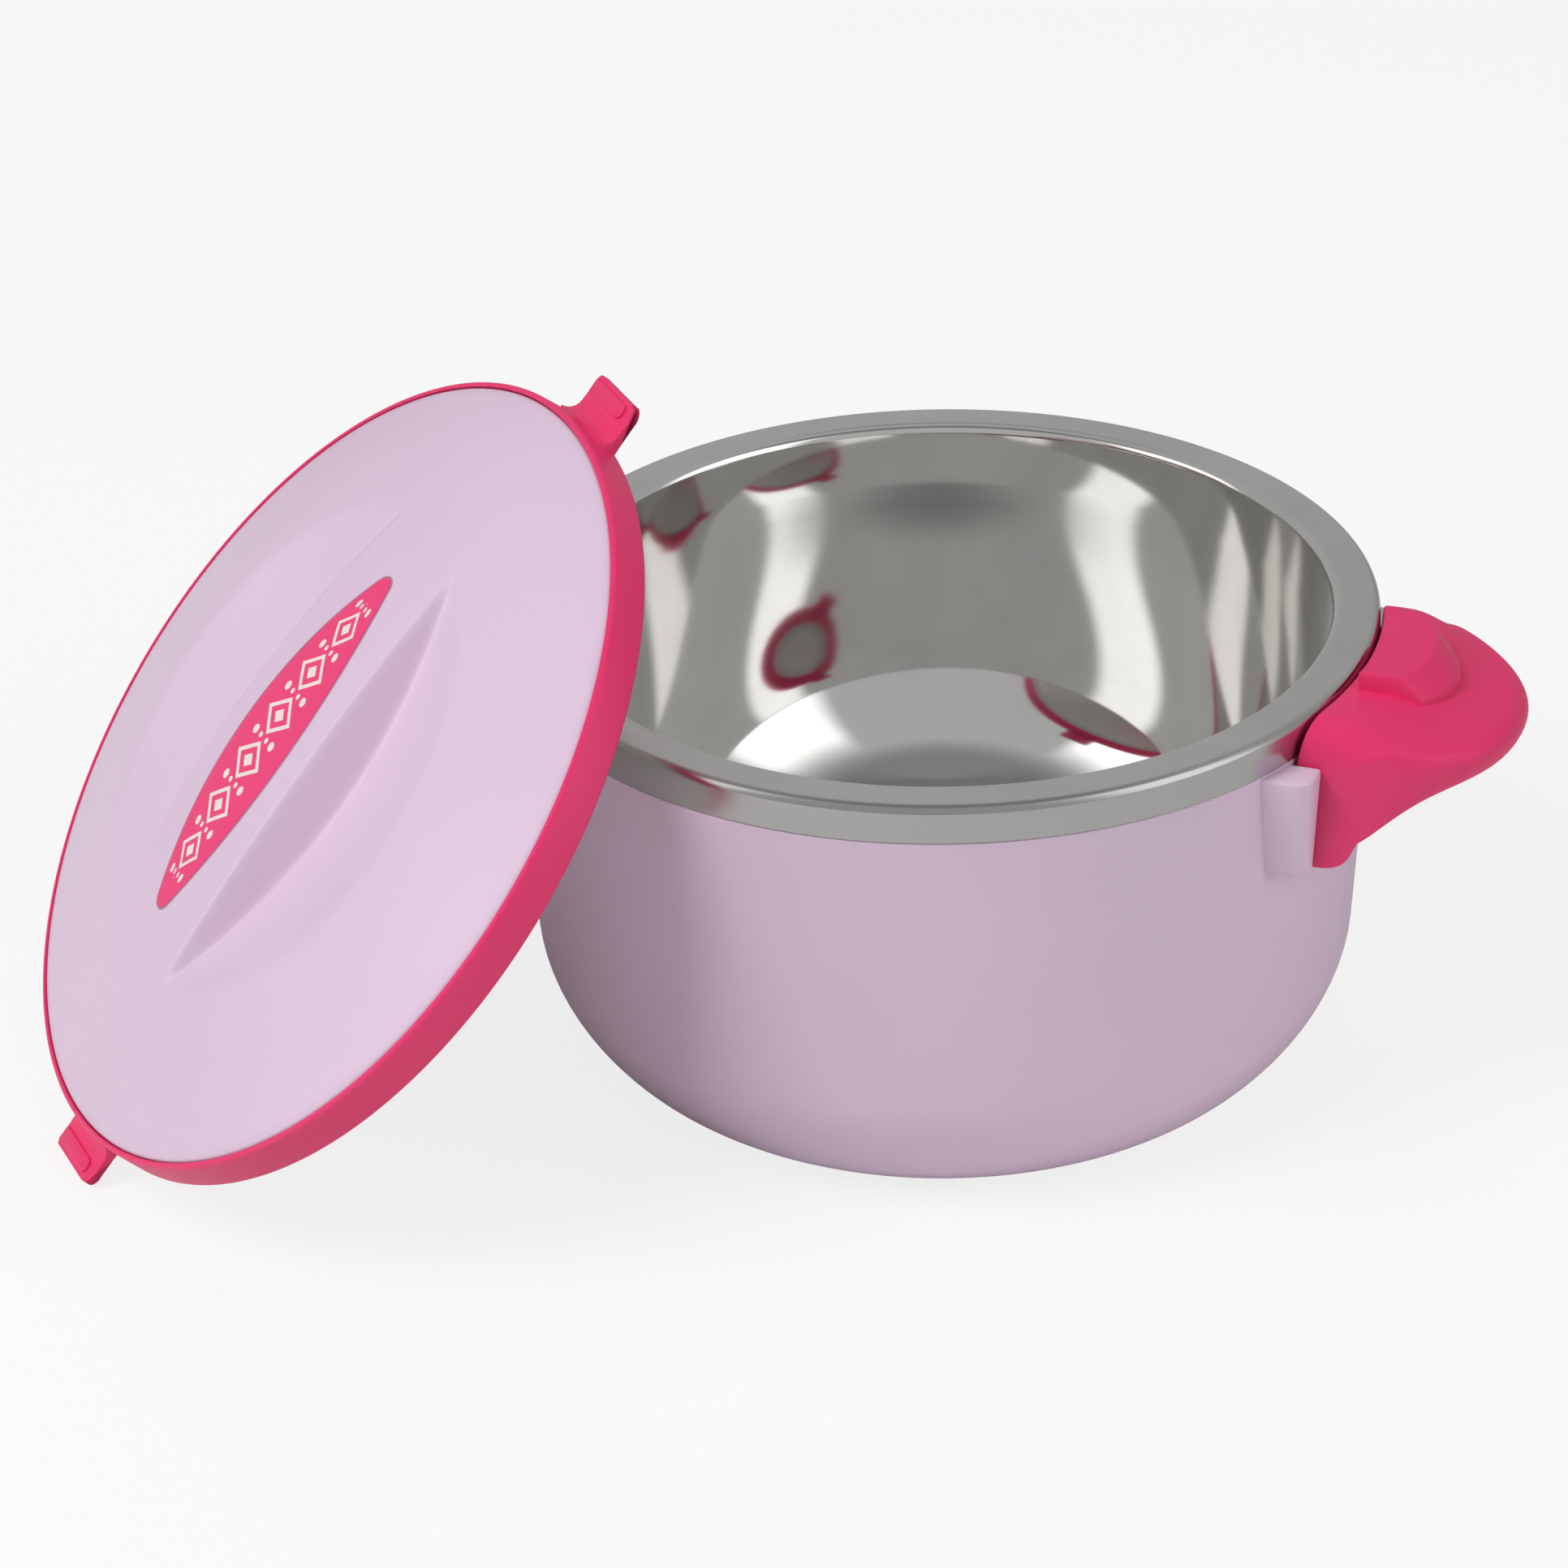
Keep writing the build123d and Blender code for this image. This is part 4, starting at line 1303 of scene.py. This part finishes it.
class SERVING_OT_lid_underside(bpy.types.Operator):
    """Model the pan under the lid and its rubber seal"""

    bl_idname = "serving.lid_underside"
    bl_label = "Lid underside"

    def execute(self, context):
        sizes, finish = settings().lid, settings().finish
        steps = settings().bowl.steps
        liner = settled(turned(liner_section(sizes), steps, False), lid_frame())
        skin = moulded_plastic("white_liner", finish.liner, finish.liner_gloss, grain=0.25)
        finished(liner, "lid_liner", "lid", skin)
        seal = settled(turned(seal_section(sizes), steps, True), lid_frame())
        finished(seal, "lid_seal", "lid", rubber_finish("seal_rubber"))
        return {"FINISHED"}


# White panels around the bowl: the direction of each and half its width in degrees, and its brightness
PANELS = ((193, 16, 1.1), (332, 20, 1.0))
PANEL_EDGE = 6  # softness of a panel's edge in degrees
WALL_GREY = 0.42
FRONT_GAIN = 0.06  # the wall behind the camera is brighter by this much
CEILING_LOSS = 0.22  # the ceiling is darker by this much
ROOM_LIMIT = 1.5
# Where the panels end, the front wall begins and the ceiling begins, as parts of a direction of length one
PANEL_TOP = (0.7, 0.9)
FRONT_EDGE = (-0.2, 0.6)
CEILING_EDGE = (0.85, 0.96)

FLOOR_SIZE = 12
FLOOR_GREY = 0.86
FLOOR_GLOW = 0.82  # share of plain white in what the camera sees of the floor

# Softboxes: the place of each and its width and height in metres, all aimed at one point
LAMPS = {
    "key": ((-1.3, -1.0, 2.0), (1.1, 1.1)),
    "fill": ((1.8, -1.0, 1.1), (0.9, 1.4)),
    "top": ((0.2, 0.5, 2.1), (1.2, 0.9)),
    "side": ((-2.2, -0.5, 0.9), (1.1, 1.1)),
}
LAMP_AIM = (-0.03, 0, 0.09)


def studio_world(ambient):
    """Even grey light and a white background; reflections show grey walls with white panels."""
    world = bpy.data.worlds.new("studio")
    bpy.context.scene.world = world
    make = Finish("studio", world)
    x, y, z = make.axes(make.node("ShaderNodeTexCoord", output="Generated"))
    level = hypot_of(x, y)
    panels = 0.0
    for facing, half, bright in PANELS:
        towards = (x * cos(radians(facing)) + y * sin(radians(facing))) / level
        inside = towards.rise(cos(radians(half + PANEL_EDGE)), cos(radians(half - PANEL_EDGE)))
        panels = panels + inside * bright
    panels = panels * (1 - z.rise(*PANEL_TOP))
    front = (0 - y / level).rise(*FRONT_EDGE)
    walls = WALL_GREY + FRONT_GAIN * front - CEILING_LOSS * z.rise(*CEILING_EDGE)
    room = (walls + panels).up_to(ROOM_LIMIT)
    tone = ambient + (room - ambient) * make.node("ShaderNodeLightPath", output="Is Glossy Ray")
    tone = tone + (1 - tone) * make.seen()
    glow = make.node("ShaderNodeBackground", inputs={"Color": tone, "Strength": 1.0})
    make.node("ShaderNodeOutputWorld", inputs={"Surface": glow})


def studio_floor():
    """Pale plain floor that keeps a soft shadow."""
    clear()
    bpy.ops.mesh.primitive_plane_add(size=FLOOR_SIZE, location=(0, 0, 0))
    floor = bpy.context.object
    floor.name = "floor"
    make = Finish("pale_floor")
    matte = make.node("ShaderNodeBsdfDiffuse", inputs={"Color": grey(FLOOR_GREY)})
    white = make.node("ShaderNodeEmission", inputs={"Color": grey(1), "Strength": 1.0})
    both = make.node("ShaderNodeMixShader", inputs={0: make.seen() * FLOOR_GLOW, 1: matte, 2: white})
    make.node("ShaderNodeOutputMaterial", inputs={"Surface": both})
    dressed(floor, make.owner)


def soft_light(name, spot, size, strength):
    """Softbox that lights the bowl and doesn't show in its reflections."""
    clear()
    bpy.ops.object.light_add(type="AREA", location=spot)
    lamp = bpy.context.object
    lamp.name = name
    lamp.data.shape = "RECTANGLE"
    lamp.data.size, lamp.data.size_y = size
    lamp.data.energy = strength
    lamp.visible_glossy = False
    lamp.rotation_euler = (Vector(LAMP_AIM) - Vector(spot)).to_track_quat("-Z", "Y").to_euler()


class SERVING_OT_stage(bpy.types.Operator):
    """Set up the camera, the pale floor and the soft light"""

    bl_idname = "serving.stage"
    bl_label = "Stage"

    def execute(self, context):
        stage = settings().stage
        scene = context.scene
        scene.view_settings.view_transform = "Standard"
        studio_world(stage.ambient)
        studio_floor()
        for name, (spot, size) in LAMPS.items():
            soft_light(name, spot, size, getattr(stage, name))
        clear()
        bpy.ops.object.camera_add(location=stage.camera_place)
        camera = context.object
        pitch = Matrix.Rotation(pi / 2 - stage.camera_pitch, 4, "X")
        roll = Matrix.Rotation(stage.camera_roll, 4, "Z")
        camera.matrix_world = Matrix.Translation(stage.camera_place) @ pitch @ roll
        camera.data.sensor_width = 36
        camera.data.lens = stage.camera_lens
        camera.data.clip_end = 50
        scene.camera = camera
        return {"FINISHED"}


class SERVING_PT_panel(bpy.types.Panel):
    """Sidebar panel that lists the pieces"""

    bl_idname = "SERVING_PT_panel"
    bl_label = "Serving Bowl"
    bl_space_type = "VIEW_3D"
    bl_region_type = "UI"
    bl_category = "Serving Bowl"

    def draw(self, context):
        for operator in OPERATORS:
            self.layout.operator(operator.bl_idname)


OPERATORS = (
    SERVING_OT_stage,
    SERVING_OT_steel_bowl,
    SERVING_OT_outer_shell,
    SERVING_OT_insulation,
    SERVING_OT_handles,
    SERVING_OT_lid_ring,
    SERVING_OT_lid_cover,
    SERVING_OT_lid_underside,
)
GROUPS = (BowlSizes, HandleSizes, LidSizes, Finishes, StageSettings, ServingBowlSettings)


def register():
    for item in (*GROUPS, *OPERATORS, SERVING_PT_panel):
        bpy.utils.register_class(item)
    bpy.types.Scene.serving_bowl = PointerProperty(type=ServingBowlSettings)


def unregister():
    del bpy.types.Scene.serving_bowl
    for item in reversed((*GROUPS, *OPERATORS, SERVING_PT_panel)):
        bpy.utils.unregister_class(item)


def main():
    register()
    clear()
    bpy.ops.serving.stage()
    bpy.ops.serving.steel_bowl()
    bpy.ops.serving.outer_shell()
    bpy.ops.serving.insulation()
    bpy.ops.serving.handles()
    bpy.ops.serving.lid_ring()
    bpy.ops.serving.lid_cover()
    bpy.ops.serving.lid_underside()
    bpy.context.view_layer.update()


if __name__ == "__main__":
    main()
